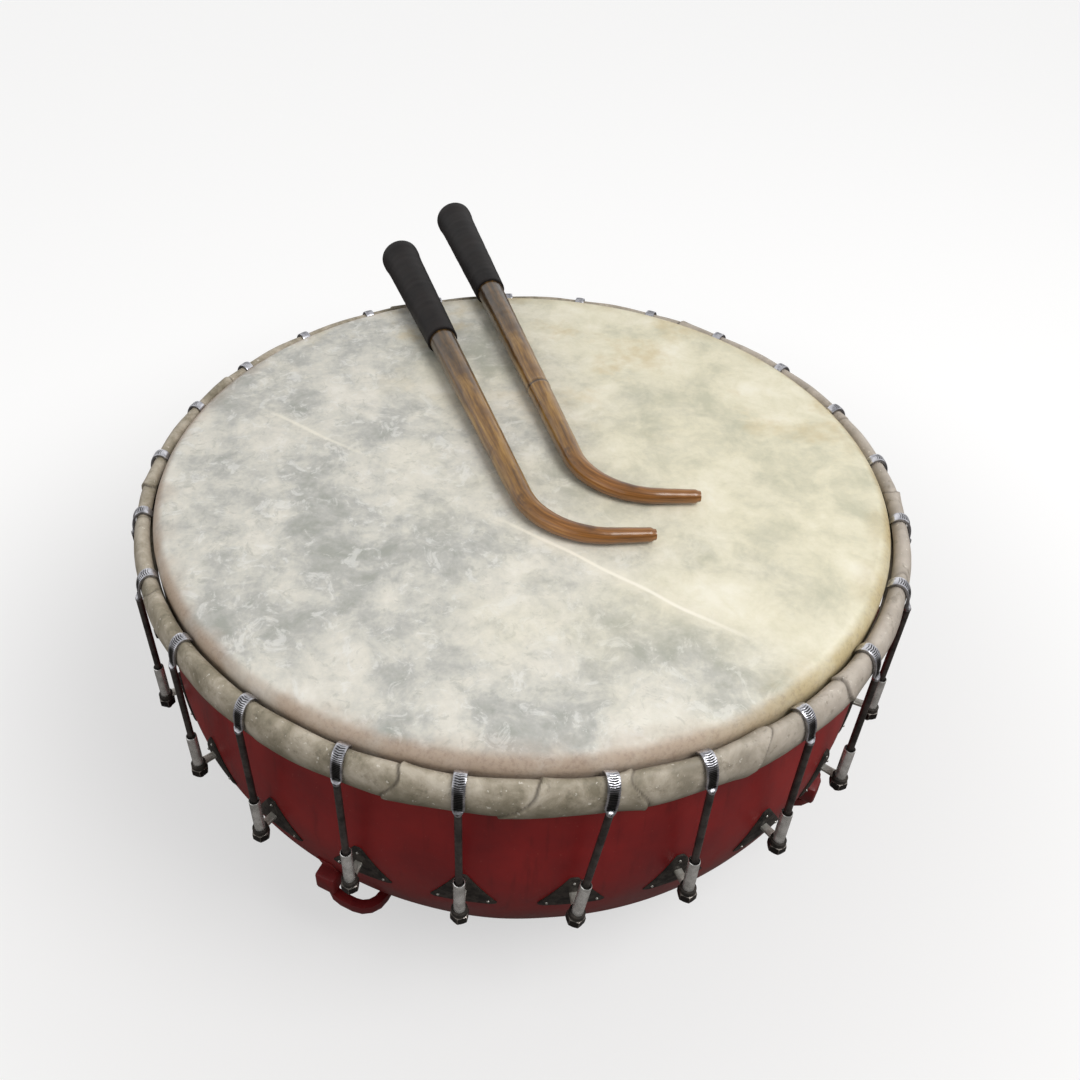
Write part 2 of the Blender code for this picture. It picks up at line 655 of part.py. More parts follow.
def make_sticks(collection, cutters, cane_material, grip_material):
    for number, (butt_x, past_edge, heading, straight) in enumerate(STICK_PLACES, start=1):
        frame = stick_frame(butt_x, past_edge, heading, straight)
        cane = cane_mesh(straight, cutters)
        grip = grip_mesh(straight, cutters)
        smooth(add_object(f"stick_{number}_cane", cane, collection, cane_material, frame))
        smooth(add_object(f"stick_{number}_grip", grip, collection, grip_material, frame))


def main():
    clear_scene()
    parts = make_collection("nagara")
    cutters = make_collection("nagara_cutters")
    red = make_material("red_gelcoat", (0.16, 0.012, 0.012), 0.35)
    hide = make_material("hide", (0.62, 0.58, 0.46), 0.55)
    iron = make_material("hoop_iron", (0.12, 0.11, 0.10), 0.5, 0.9)
    steel = make_material("hook_steel", (0.25, 0.25, 0.27), 0.35, 1.0)
    dark_steel = make_material("nut_steel", (0.05, 0.045, 0.045), 0.4, 1.0)
    cane = make_material("cane", (0.30, 0.13, 0.03), 0.45)
    tape = make_material("grip_tape", (0.02, 0.017, 0.017), 0.6)

    bowl = make_bowl(parts, red)
    combine(bowl, (make_lugs(cutters),), "UNION")
    smooth(bowl)
    smooth(make_head(parts, hide))
    smooth(make_hoop(parts, iron))
    make_hooks(parts, cutters, steel, dark_steel)
    for number, azimuth in enumerate(LOOP_AZIMUTHS, start=1):
        make_loop(number, azimuth, parts, cutters, red)
    make_sticks(parts, cutters, cane, tape)


main()
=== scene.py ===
import json
import math

import bpy
import numpy as np
from mathutils import Matrix, Vector


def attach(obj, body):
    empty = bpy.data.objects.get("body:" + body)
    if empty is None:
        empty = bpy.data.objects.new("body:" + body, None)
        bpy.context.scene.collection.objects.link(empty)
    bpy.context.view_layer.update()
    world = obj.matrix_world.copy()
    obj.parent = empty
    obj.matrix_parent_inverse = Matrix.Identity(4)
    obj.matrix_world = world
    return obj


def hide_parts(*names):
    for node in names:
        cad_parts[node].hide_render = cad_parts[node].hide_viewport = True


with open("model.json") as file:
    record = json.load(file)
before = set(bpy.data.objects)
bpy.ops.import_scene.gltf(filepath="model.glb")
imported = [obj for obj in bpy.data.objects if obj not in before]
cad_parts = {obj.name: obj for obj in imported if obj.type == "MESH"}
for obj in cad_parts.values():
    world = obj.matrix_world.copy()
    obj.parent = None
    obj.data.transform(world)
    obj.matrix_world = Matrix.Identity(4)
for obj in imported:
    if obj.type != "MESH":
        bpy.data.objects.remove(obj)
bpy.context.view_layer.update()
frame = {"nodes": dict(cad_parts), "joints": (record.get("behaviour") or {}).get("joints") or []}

# Nagara: a kettle drum with a hide head, hooked tuning rods and two bent cane beaters.
# Metres, in the part's own frame. The front is towards -Y, and azimuths run from it towards +X.

# Bowl and its rim
BOWL_HEIGHT = 0.330
BELLY_RADIUS = 0.333
BELLY_HEIGHT = 0.190
BASE_RADIUS = 0.146
BOWL_WALL = 0.006
EDGE_RADIUS = 0.3265
EDGE_ROUND = 0.011
RIM_WALL = 0.014
RIM_BAND = 0.034
BOWL_RIPPLE = 0.0006

# Hide and its lapped roll
HIDE_GAP = 0.0003
HIDE_THICKNESS = 0.002
ROLL_CIRCLE = 0.338
ROLL_HEIGHT = BOWL_HEIGHT - 0.0236
ROLL_HALF_WIDTH = 0.0085
ROLL_HALF_HEIGHT = 0.0175
LAP_THICKNESS = 0.0030
LAP_START = 165.0
LAP_ROOT = 210.0
LAP_END = 140.0
HEAD_TOP = BOWL_HEIGHT + HIDE_GAP + HIDE_THICKNESS
ROLL_BULGE = 0.0007
ROLL_PINCH = 0.0002
FLAP_LIFT = 0.0012
FLAP_STEP = 0.0008
GROOVE_DEPTH = 0.0005
WRINKLE_HEIGHT = 0.00026
DENT_HEIGHT = 0.00035
# The azimuth where the leaning rod's claw crosses the roll, and how wide it draws the roll in
LEANING_CLAW = 6.46
LEANING_SPREAD = 2.0
# Each flap's azimuth, how far it slants over the roll, and which side lies on top
FLAPS = ((-122.0, 1.5, 1), (-109.0, -2.0, 1), (-91.0, 2.2, -1), (-80.0, -1.4, 1), (-66.0, 1.8, 1),
         (-38.0, -1.0, 1), (-18.5, 1.3, 1), (-3.6, 2.6, 1), (10.2, -1.2, -1), (25.2, 1.9, -1),
         (41.5, -1.5, 1), (62.0, 2.1, 1), (84.0, -1.8, -1), (101.0, 1.4, 1), (118.0, 2.4, 1),
         (143.0, -1.6, -1), (161.0, 1.2, 1), (178.0, -2.2, 1), (199.0, 1.7, -1), (221.0, -1.3, 1))
# Radii between which the skin begins to blush, browns over the bend, and gives way to the roll
BLUSH_RADII = (0.302, 0.321)
BEND_RADII = (0.3175, 0.3255)
SKIN_END_RADII = (0.3289, 0.3293)
# The line that the spine left: its heading in degrees, and how far it passes from the middle
SPINE_HEADING = 38.7
SPINE_ASIDE = 0.074

# Hooks, lugs and nuts
CLAW_WIDTH = 0.0094
CLAW_THICKNESS = 0.0025
CLAW_HALF_WIDTH = 0.00897
CLAW_HALF_HEIGHT = 0.01812
CLAW_TIP = 141.0
CLAW_REACH = 0.011486
NECK_LENGTH = 0.0064
TOOTH_PITCH = 0.0015
TOOTH_DEPTH = 0.0005
TROUGH_DEPTH = 0.0011
ROD_RADIUS = 0.0028
NECK_WIDTH = 2.12 * ROD_RADIUS
THREAD_PITCH = 0.001
THREAD_DEPTH = 0.0003
THREAD_LENGTH = 0.0175
ROD_BELOW_NUT = 0.0065
ROD_POINT = 0.0008
LUG_HEIGHT = 0.1795
TUBE_RADIUS = 0.0045
TUBE_BORE = 0.0036
TUBE_LENGTH = 0.036
TUBE_CHAMFER = 0.0004
TUBE_DISH = 0.0014
EYE_RADIUS = 0.0063
EYE_PROUD = 0.0005
EYE_CHAMFER = 0.0006
EYE_OVERLAP = 0.0002
BAR_WIDTH = 0.0072
BAR_THICKNESS = 0.0035
PLATE_HALF = 0.027
PLATE_TOP = LUG_HEIGHT + 0.0185
PLATE_BOTTOM = LUG_HEIGHT - 0.0205
PLATE_PROUD = 0.0017
PLATE_SINK = 0.002
PLATE_CORNER = 0.003
RIVET_RADIUS = 0.0012
RIVET_HEIGHT = 0.0012
# Each rivet of a plate: its distance beside the plate's middle, and its height
RIVET_PLACES = ((0.0, PLATE_TOP - 0.0065), (-PLATE_HALF + 0.0075, PLATE_BOTTOM + 0.0048),
                (PLATE_HALF - 0.0075, PLATE_BOTTOM + 0.0048))
NUT_FLATS = 0.013
NUT_HEIGHT = 0.0075
NUT_CHAMFER = 30.0
NUT_TURN = 37.0

# Beaters: each has its butt's X, its distance past the rim, its heading, its straight, and how far
# from the butt its cane has nodes
STICKS = ((-0.1096, 0.0633, -76.05, 0.461, ()), (-0.0414, 0.1716, -79.39, 0.510, (0.400,)))
STICK_BEND_RADIUS = 0.073
STICK_BEND_ANGLE = 76.5
STICK_TIP_LENGTH = 0.036
STICK_BUTT_RADIUS = 0.0175
STICK_BEND_START_RADIUS = 0.0096
STICK_TIP_RADIUS = 0.0060
STICK_END_ROUND = 0.0030
NODE_SWELL = 0.0007
NODE_DIP = 0.0009
HAND_WORK = 0.00012
GRIP_LENGTH = 0.200
GRIP_BUTT_WALL = 0.0040
GRIP_FRONT_WALL = 0.0024
GRIP_CORNER = 0.0035
GRIP_SWELL = 0.0010
GRIP_LIP = 0.0010
GRIP_PAST_BUTT = 0.001

# Photograph's camera: a frame 1080 pixels square
PHOTO_SIDE = 1080
FOCAL_PIXELS = 1013.4
CENTRE_PIXELS = (437.9, 469.0)
CAMERA_PLACE = (-0.0704, -0.7415, 0.9016)
CAMERA_PITCH = 37.71
CAMERA_ROLL = -1.53

# Studio: each lamp's name, power, width, place and target
LAMPS = (("key", 36.0, 1.4, (1.1, -0.9, 2.2), (0.0, 0.0, 0.2)),
         ("fill", 9.0, 2.2, (-1.8, -1.6, 1.3), (0.0, 0.0, 0.15)))
SKY_STRENGTH = 0.52
FLOOR_HALF = 6.0
FLOOR_DROP = 0.0005


def surface(name, points, wrap_rows=False, wear_and_painted_light=None):
    """A closed mesh over a grid: rows run along the piece and columns run round it. Open ends are
    closed by a fan about the middle of the end row. Faces are turned outwards by the sign of the
    volume, the sum of the corner determinants. Its UV map runs from 0 to 1 round and along. A
    number for each point, real wear on some pieces and painted shade and highlights on others, is
    kept."""
    rows, columns = points.shape[:2]
    i = np.arange(rows if wrap_rows else rows - 1)[:, None]
    j = np.arange(columns)[None, :]
    after = (j + 1) % columns
    here, ahead = i * columns, ((i + 1) % rows) * columns
    quads = np.stack([here + j, here + after, ahead + after, ahead + j], -1).reshape(-1, 4)
    across = np.broadcast_to(np.stack([j, j + 1, j + 1, j], -1) / columns, (len(i), columns, 4))
    along = np.broadcast_to(np.stack([i, i, i + 1, i + 1], -1) / rows, (len(i), 1, 4))
    uv = np.stack([across, np.broadcast_to(along, across.shape)], -1).reshape(-1, 4, 2)
    places = points.reshape(-1, 3)
    fans, fan_uv = np.empty((0, 3), int), np.empty((0, 3, 2))
    if not wrap_rows:
        ring, beside = np.arange(columns), (np.arange(columns) + 1) % columns
        ends = np.stack([points[0].mean(0), points[-1].mean(0)])
        last = (rows - 1) * columns
        first_hub, last_hub = len(places), len(places) + 1
        places = np.vstack([places, ends])
        fans = np.vstack([np.stack([beside, ring, np.full(columns, first_hub)], -1),
                          np.stack([last + ring, last + beside, np.full(columns, last_hub)], -1)])
        u = np.stack([ring, ring + 1, ring + 0.5], -1) / columns
        v = np.vstack([np.zeros((columns, 3)), np.ones((columns, 3))])
        fan_uv = np.stack([np.vstack([u[:, [1, 0, 2]], u]), v], -1)
    corners = np.vstack([quads[:, :3], quads[:, [0, 2, 3]], fans])
    if np.linalg.det(places[corners]).sum() < 0:
        quads, uv, fans, fan_uv = quads[:, ::-1], uv[:, ::-1], fans[:, ::-1], fan_uv[:, ::-1]
    mesh = bpy.data.meshes.new(name)
    mesh.from_pydata(places.tolist(), [], quads.tolist() + fans.tolist())
    layer = mesh.uv_layers.new(name="UVMap")
    layer.data.foreach_set("uv", np.concatenate([uv.ravel(), fan_uv.ravel()]).astype(np.float32))
    if wear_and_painted_light is not None:
        values = np.zeros(len(places), np.float32)
        values[:wear_and_painted_light.size] = wear_and_painted_light.ravel()
        mesh.attributes.new("wear_and_painted_light", "FLOAT", "POINT").data.foreach_set("value", values)
    return mesh


def shown(name, mesh, material, body, replaces, crease=40.0):
    """Links a finished mesh as a piece that rides on a body and stands for CAD nodes."""
    mesh.shade_smooth()
    mesh.set_sharp_from_angle(angle=math.radians(crease))
    mesh.materials.append(material)
    piece = bpy.data.objects.new(name, mesh)
    bpy.context.scene.collection.objects.link(piece)
    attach(piece, body)
    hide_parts(*replaces)
    return piece


def gathered(name, meshes):
    """One mesh that holds the faces of many, each still a closed shell of its own."""
    objects = []
    for mesh in meshes:
        part = bpy.data.objects.new(name, mesh)
        bpy.context.scene.collection.objects.link(part)
        objects.append(part)
    with bpy.context.temp_override(active_object=objects[0], selected_editable_objects=objects):
        bpy.ops.object.join()
    mesh = objects[0].data
    bpy.data.objects.remove(objects[0])
    return mesh


def place(points, matrix):
    """Points of any grid, carried by a 4 by 4 matrix."""
    m = np.array(matrix)
    return points @ m[:3, :3].T + m[:3, 3]


def smoothstep(low, high, value):
    """0 below low, 1 above high, and the cubic 3t^2 - 2t^3 between them."""
    t = np.clip((value - low) / (high - low), 0.0, 1.0)
    return t * t * (3.0 - 2.0 * t)


def ripple(round_angle, along_angle, seed, count, most_waves):
    """A wavy field that closes on itself: a sum of cosines with whole numbers of waves both ways,
    each with a random phase and a height that falls as its waves get shorter."""
    random = np.random.default_rng(seed)
    total = 0.0
    for _ in range(count):
        m = random.integers(3, most_waves)
        n = random.integers(0, 3)
        phase = random.uniform(0, 2 * np.pi)
        total = total + np.cos(m * round_angle + n * along_angle + phase) / math.sqrt(m)
    return total * 2.0 / math.sqrt(count)


def oval(centre, half_width, half_height, start, end, steps):
    """Points of an oval in a profile, ends included, at equal steps of the angle of its circle."""
    angle = np.radians(np.linspace(start, end, steps + 1))
    return np.stack([centre[0] + half_width * np.cos(angle),
                     centre[1] + half_height * np.sin(angle)], -1)


def arc(centre, radius, start, end, steps):
    return oval(centre, radius, radius, start, end, steps)


def revolved(profile, steps):
    """Each (radius, height) of a profile carried round Z: rows are its points, columns azimuths."""
    turn = np.radians(np.arange(steps) * 360.0 / steps)
    r, z = profile[:, :1], profile[:, 1:]
    return np.stack([r * np.sin(turn), -r * np.cos(turn), z + 0.0 * turn], -1)


def bowl_radius(height, inset=0.0):
    """A quarter ellipse below the belly; above it, half a cosine wave in to the straight rim."""
    straight = BOWL_HEIGHT - RIM_BAND
    share = np.clip((height - BELLY_HEIGHT) / (straight - BELLY_HEIGHT), 0.0, 1.0)
    upper = BELLY_RADIUS - (BELLY_RADIUS - EDGE_RADIUS) * (1 - np.cos(np.pi * share)) / 2 - inset
    depth = np.clip((BELLY_HEIGHT - height) / (BELLY_HEIGHT - inset), 0.0, 1.0)
    lower = BASE_RADIUS + (BELLY_RADIUS - inset - BASE_RADIUS) * np.sqrt(1.0 - depth * depth)
    return np.where(height >= BELLY_HEIGHT, upper, lower)


# Materials


def srgb(code):
    """A linear colour from an sRGB hex code."""
    values = [int(code[i:i + 2], 16) / 255.0 for i in (1, 3, 5)]
    linear = [v / 12.92 if v <= 0.04045 else ((v + 0.055) / 1.055) ** 2.4 for v in values]
    return (*linear, 1.0)


def node(kind, inputs=None, tree=None, **settings):
    """Adds a node. Its inputs take a value or another node's output socket; without such a socket
    its tree has to be given."""
    inputs = inputs or {}
    linked = [key for key in inputs if isinstance(inputs[key], bpy.types.NodeSocket)]
    tree = tree or inputs[linked[0]].id_data
    made = tree.nodes.new(kind)
    for key, value in settings.items():
        setattr(made, key, value)
    for key, value in inputs.items():
        if key in linked:
            tree.links.new(value, made.inputs[key])
        else:
            made.inputs[key].default_value = value
    return made


def new_material(name, roughness, metallic=0.0, **sockets):
    """A Principled material; more of its sockets are set by name, with _ for a space."""
    material = bpy.data.materials.new(name)
    material.use_nodes = True
    tree = material.node_tree
    shader = tree.nodes["Principled BSDF"]
    shader.inputs["Roughness"].default_value = roughness
    shader.inputs["Metallic"].default_value = metallic
    for key, value in sockets.items():
        shader.inputs[key.replace("_", " ")].default_value = value
    return material, tree, shader


def feed(shader, key, socket):
    shader.id_data.links.new(socket, shader.inputs[key])


def texture_place(tree, kind="Object"):
    return node("ShaderNodeTexCoord", tree=tree).outputs[kind]


def mapped(vector, **turn_or_scale):
    return node("ShaderNodeMapping", {"Vector": vector, **turn_or_scale}).outputs["Vector"]


def axes(vector):
    """The X, Y and Z of a vector, each a socket."""
    parts = node("ShaderNodeSeparateXYZ", {"Vector": vector}).outputs
    return [parts[key] for key in "XYZ"]


def kept_wear_and_light(tree):
    """The wear and painted light that surface() keeps for each point."""
    return node("ShaderNodeAttribute", tree=tree, attribute_name="wear_and_painted_light").outputs["Fac"]


def maths(operation, first, second=0.0):
    return node("ShaderNodeMath", {0: first, 1: second}, operation=operation).outputs[0]


def added(first, *more):
    for value in more:
        first = maths("ADD", first, value)
    return first


def product(first, second):
    return maths("MULTIPLY", first, second)


def from_axis(x, y):
    """The distance from the drum's axis."""
    return maths("SQRT", added(product(x, x), product(y, y)))


def spot(size, coordinates, detail=4.0, rough=0.55, distortion=0.0):
    """Noise whose largest shapes are about this size in metres."""
    inputs = {"Vector": coordinates, "Scale": 1.0 / size, "Detail": detail, "Roughness": rough,
              "Distortion": distortion}
    return node("ShaderNodeTexNoise", inputs).outputs["Fac"]


def drift(size, coordinates, detail):
    """Noise that swings about 0."""
    return maths("SUBTRACT", spot(size, coordinates, detail), 0.5)


def band(value, low, high, to_low=0.0, to_high=1.0):
    """Maps a value smoothly from low..high to to_low..to_high, and holds it beyond."""
    inputs = {"Value": value, "From Min": low, "From Max": high, "To Min": to_low,
              "To Max": to_high}
    return node("ShaderNodeMapRange", inputs, interpolation_type="SMOOTHSTEP").outputs["Result"]


def blend_colours(factor, *colours):
    """Mixes two colours, each a hex code or a socket."""
    first, second = (srgb(colour) if isinstance(colour, str) else colour for colour in colours)
    return node("ShaderNodeMix", {0: factor, 6: first, 7: second}, data_type="RGBA").outputs[2]


def stained(colour, stain, value, low, high, amount):
    """A colour under a stain, which grows to this amount as a value goes from low to high."""
    return blend_colours(band(value, low, high, 0.0, amount), colour, stain)


def ramp(factor, positions, codes):
    """A colour ramp; the hex codes of its stops are one string."""
    made = node("ShaderNodeValToRGB", {"Fac": factor})
    points = made.color_ramp.elements
    while len(points) < len(positions):
        points.new(1.0)
    for point, position, code in zip(points, positions, codes.split()):
        point.position = position
        point.color = srgb(code)
    return made.outputs["Color"]


def bump(shader, height, depth, strength, under=None):
    """Bump of this depth in metres; under is a coarser bump that it lies on."""
    inputs = {"Height": height, "Distance": depth, "Strength": strength}
    if under is not None:
        inputs["Normal"] = under
    out = node("ShaderNodeBump", inputs).outputs["Normal"]
    feed(shader, "Normal", out)
    return out


def hide_skin(spots, x, y):
    """The stretched skin's colours: white and grey-green clouds on the left, cream on the right,
    and tan scorches far back."""
    clouds = spot(0.075, spots, detail=8.0, rough=0.60, distortion=0.35)
    blots = spot(0.030, spots, detail=7.0, rough=0.66, distortion=0.5)
    fine = spot(0.006, spots, detail=5.0, rough=0.7)
    mixed = added(product(clouds, 0.55), product(blots, 0.33), product(fine, 0.12))
    positions = (0.38, 0.45, 0.50, 0.56, 0.64)
    cool = ramp(mixed, positions, "#A3A49C #B8B7B1 #CBC9C0 #DAD6CB #E6E2D8")
    warm = ramp(mixed, positions, "#C3C0A9 #D2CDB5 #DCD6BD #E4DEC7 #EBE6D3")
    to_right = added(x, product(y, 0.25), product(drift(0.16, spots, 4.0), 0.5))
    on_right = band(to_right, -0.10, 0.22)
    wisps = spot(0.022, spots, detail=9.0, rough=0.72, distortion=1.0)
    cool = stained(cool, "#E6E5E0", wisps, 0.53, 0.62, 0.50)
    thin = spot(0.013, spots, detail=8.0, rough=0.74, distortion=0.8)
    cool = blend_colours(band(thin, 0.35, 0.46, 0.38, 0.0), cool, "#9FA097")
    skin = blend_colours(on_right, cool, warm)
    back_right = band(added(product(x, 0.5), y), 0.02, 0.22)
    tan = band(spot(0.070, spots, detail=5.0, rough=0.6), 0.52, 0.70, 0.0, 0.65)
    return blend_colours(product(tan, back_right), skin, "#C9B78E")


def spine_line(spots, skin):
    """The pale line that the animal's spine left: a core and a halo beside it, strong towards its
    two ends and faint between them."""
    along, aside, _ = axes(mapped(spots, Rotation=(0.0, 0.0, math.radians(SPINE_HEADING))))
    wobble = product(drift(0.14, spots, 2.0), 0.022)
    across = maths("ABSOLUTE", added(aside, SPINE_ASIDE, wobble))
    near_end = product(band(along, 0.01, 0.09), band(along, 0.20, 0.29, 1.0, 0.0))
    far_end = product(band(along, -0.27, -0.22), band(along, -0.17, -0.10, 0.6, 0.0))
    strength = maths("MAXIMUM", maths("MAXIMUM", near_end, far_end), 0.10)
    core = product(band(across, 0.0004, 0.0030, 0.85, 0.0), strength)
    halo = product(band(across, 0.001, 0.016, 0.35, 0.0), strength)
    skin = blend_colours(halo, skin, "#ECE5D2")
    return blend_colours(core, skin, "#F4EEDF")


def hide_shoulder(spots, x, y, radius, skin):
    """Where the skin bends over the rim it is thinner and browner: pinkish at the front and left,
    tan at the right. Before the bend it blushes in patches."""
    from_middle = added(radius, product(drift(0.045, spots, 5.0), 0.030))
    side = band(added(x, product(y, 0.4)), -0.05, 0.12)
    brown = blend_colours(side, "#A9937F", "#B5A377")
    speckle = spot(0.0035, spots, detail=4.0, rough=0.75)
    brown = stained(brown, "#7C6353", speckle, 0.45, 0.68, 0.45)
    patches = spot(0.05, spots, detail=4.0)
    blush = product(band(from_middle, *BLUSH_RADII, 0.0, 0.34), band(patches, 0.42, 0.60))
    skin = blend_colours(blush, skin, brown)
    bend = product(band(radius, *BEND_RADII), band(patches, 0.25, 0.60, 0.40, 0.80))
    return blend_colours(bend, skin, brown)


def hide_roll(spots, x, height, creased):
    """The lapped edge, dried hard: olive taupe, pinker at the right, thumbed and scuffed, with
    painted shade darkening its underside and a painted shadow in each crease."""
    blotch = spot(0.026, spots, detail=7.0, rough=0.66, distortion=0.3)
    roll = ramp(blotch, (0.36, 0.46, 0.54, 0.66), "#7F7765 #978E7C #AAA08F #BFB6A6")
    roll = stained(roll, "#BBB1A9", x, 0.02, 0.26, 0.55)
    # Painted shade: the roll darkens towards its underside.
    below = band(height, ROLL_HEIGHT - 0.015, ROLL_HEIGHT + 0.008, 0.70, 0.0)
    roll = blend_colours(below, roll, "#66614F")
    grime_and_shade = spot(0.010, spots, detail=5.0, rough=0.7)
    roll = stained(roll, "#5B5444", grime_and_shade, 0.56, 0.68, 0.40)
    scuffs = spot(0.0035, spots, detail=3.0)
    roll = stained(roll, "#DAD4C8", scuffs, 0.665, 0.70, 0.65)
    # Painted shadow: each crease darkens towards a deep brown.
    return blend_colours(product(creased, 0.75), roll, "#3A3228")


def rawhide():
    """Scraped and stretched rawhide: a satin skin, clouded where it is thinner or thicker."""
    material, tree, shader = new_material("scraped_rawhide", 0.55, Specular_IOR_Level=0.35,
                                          Subsurface_Weight=0.04,
                                          Subsurface_Radius=(0.004, 0.003, 0.002))
    spots = texture_place(tree)
    x, y, z = axes(spots)
    radius = from_axis(x, y)
    skin = spine_line(spots, hide_skin(spots, x, y))
    skin = hide_shoulder(spots, x, y, radius, skin)
    roll = hide_roll(spots, x, z, kept_wear_and_light(tree))
    colour = blend_colours(band(radius, *SKIN_END_RADII), skin, roll)
    feed(shader, "Base Color", colour)
    coarse = bump(shader, spot(0.012, spots, detail=5.0), 0.0009, 0.35)
    bump(shader, spot(0.0024, spots, detail=3.0), 0.00025, 0.4, coarse)
    return material


def gelcoat():
    """Sprayed red gelcoat over glass fibre: a dull gloss, a little wavy, dusty and scuffed, and
    darker towards the bottom with painted shade."""
    material, tree, shader = new_material("red_gelcoat", 0.42, Specular_IOR_Level=0.32)
    spots = texture_place(tree)
    cloud = spot(0.09, spots, detail=5.0, rough=0.6)
    paint = ramp(cloud, (0.35, 0.52, 0.70), "#6E1517 #7F1B1B #8C2321")
    streaks = spot(0.007, mapped(spots, Scale=(1.0, 1.0, 0.12)), detail=4.0)
    paint = stained(paint, "#591012", streaks, 0.54, 0.72, 0.4)
    paint = stained(paint, "#A65B50", spot(0.0030, spots, detail=3.0), 0.68, 0.74, 0.35)
    # Painted shade: the paint darkens towards the bottom of the bowl.
    grime_and_shade = band(axes(spots)[2], 0.06, 0.21, 0.62, 0.0)
    paint = blend_colours(grime_and_shade, paint, "#2E0A0B")
    feed(shader, "Base Color", paint)
    feed(shader, "Roughness", band(cloud, 0.3, 0.7, 0.34, 0.52))
    wavy = bump(shader, spot(0.03, spots, detail=2.0), 0.0010, 0.3)
    bump(shader, spot(0.0016, spots, detail=2.0), 0.00006, 0.35, wavy)
    return material


def metal(name, light, dark, roughness, patch_size, metallic=1.0, grain=0.0012, hollow=None):
    """Metal whose colour runs from light to dark in patches of this size. A piece that keeps its
    own wear and painted light shows the hollow colour where that is 0, and these colours where it
    is 1."""
    material, tree, shader = new_material(name, roughness, metallic)
    spots = texture_place(tree)
    patches = spot(patch_size, spots, detail=5.0, rough=0.65)
    colour = ramp(patches, (0.36, 0.60), f"{dark} {light}")
    if hollow is not None:
        colour = blend_colours(band(kept_wear_and_light(tree), 0.0, 1.0), hollow, colour)
    feed(shader, "Base Color", colour)
    dulled = band(patches, 0.35, 0.65, min(1.0, roughness * 1.5), roughness)
    feed(shader, "Roughness", dulled)
    bump(shader, spot(grain, spots, detail=3.0), 0.00012, 0.3)
    return material


def cane():
    """Fire-bent cane, varnished: dark brown by the grip, golden down the shaft and orange brown at
    the tip, with long streaks, scorched patches and dark rings at its nodes."""
    material, tree, shader = new_material("fire_bent_cane", 0.28, Coat_Weight=0.35,
                                          Coat_Roughness=0.08)
    place_on_cane = texture_place(tree, "UV")
    along = axes(place_on_cane)[1]
    lengthwise = mapped(place_on_cane, Scale=(0.070, 0.050, 1.0))
    fibre = spot(0.0045, lengthwise, detail=6.0, rough=0.62, distortion=0.2)
    brown = ramp(fibre, (0.34, 0.48, 0.60, 0.72), "#281A0B #433013 #5F431C #7E5C2A")
    golden = ramp(fibre, (0.34, 0.46, 0.56, 0.70), "#563A16 #775322 #8F692D #AC8441")
    orange = ramp(fibre, (0.34, 0.48, 0.60, 0.72), "#573514 #7A4E21 #905E2A #AA7739")
    skin = blend_colours(band(along, 0.36, 0.60), brown, golden)
    skin = blend_colours(band(along, 0.74, 0.88), skin, orange)
    patchwise = mapped(place_on_cane, Scale=(0.050, 0.52, 1.0))
    scorch = spot(0.030, patchwise, detail=4.0, distortion=0.4)
    skin = stained(skin, "#38200E", scorch, 0.58, 0.70, 0.6)
    skin = blend_colours(kept_wear_and_light(tree), skin, "#1F120A")
    feed(shader, "Base Color", skin)
    bump(shader, fibre, 0.00015, 0.4)
    return material


def grip_rubber():
    """Shrunk rubber sleeve: brown black, matt, greyed where the hand rubs it."""
    material, tree, shader = new_material("rubber_sleeve", 0.6, Specular_IOR_Level=0.22)
    spots = texture_place(tree)
    rubbed_and_glinting = spot(0.025, spots, detail=5.0, rough=0.6)
    feed(shader, "Base Color", ramp(rubbed_and_glinting, (0.35, 0.62), "#110E0E #1E1918"))
    bump(shader, spot(0.0011, spots, detail=3.0), 0.0002, 0.4)
    return material


RAWHIDE = rawhide()
GELCOAT = gelcoat()
# Plated steel claws: bright on their teeth and rims, with painted shade in their hollows and
# grooves.
CLAW_STEEL = metal("nickel_plated_steel", "#DCDCE2", "#9A9AA0", 0.24, 0.006, hollow="#262624")
# Oiled and blackened steel rod: dark brown grey with a soft shine.
ROD_STEEL = metal("blackened_steel", "#5E5855", "#3B3735", 0.34, 0.014, 0.8, grain=0.0025)
# Zinc-plated tube: pale and bright, with faint dull bloom.
ZINC = metal("zinc_plated_steel", "#E9E8E5", "#B9B8B4", 0.20, 0.010, 0.72)
# Black-oxide nut, greasy, with painted highlights on its corners and chamfers.
NUT_STEEL = metal("black_oxide_steel", "#8C8680", "#5E5852", 0.33, 0.005, 0.9, hollow="#2A2624")
# Bracket plate: dark paint over steel, chipped and dusty.
PLATE_STEEL = metal("painted_bracket_steel", "#3B352F", "#221F1C", 0.5, 0.007, 0.35)
# Bracket bar: bare zinc, dulled to a warm grey.
BAR_STEEL = metal("dulled_zinc_bar", "#CFCDC5", "#9A968D", 0.34, 0.008, 0.75)
RIVET_METAL = metal("aluminium_rivet", "#C4C2BC", "#8C8983", 0.35, 0.003)
HOOP_IRON = metal("mild_steel_hoop", "#5A5048", "#3A332D", 0.6, 0.012, 0.7)
CANE = cane()
RUBBER = grip_rubber()


# Bowl


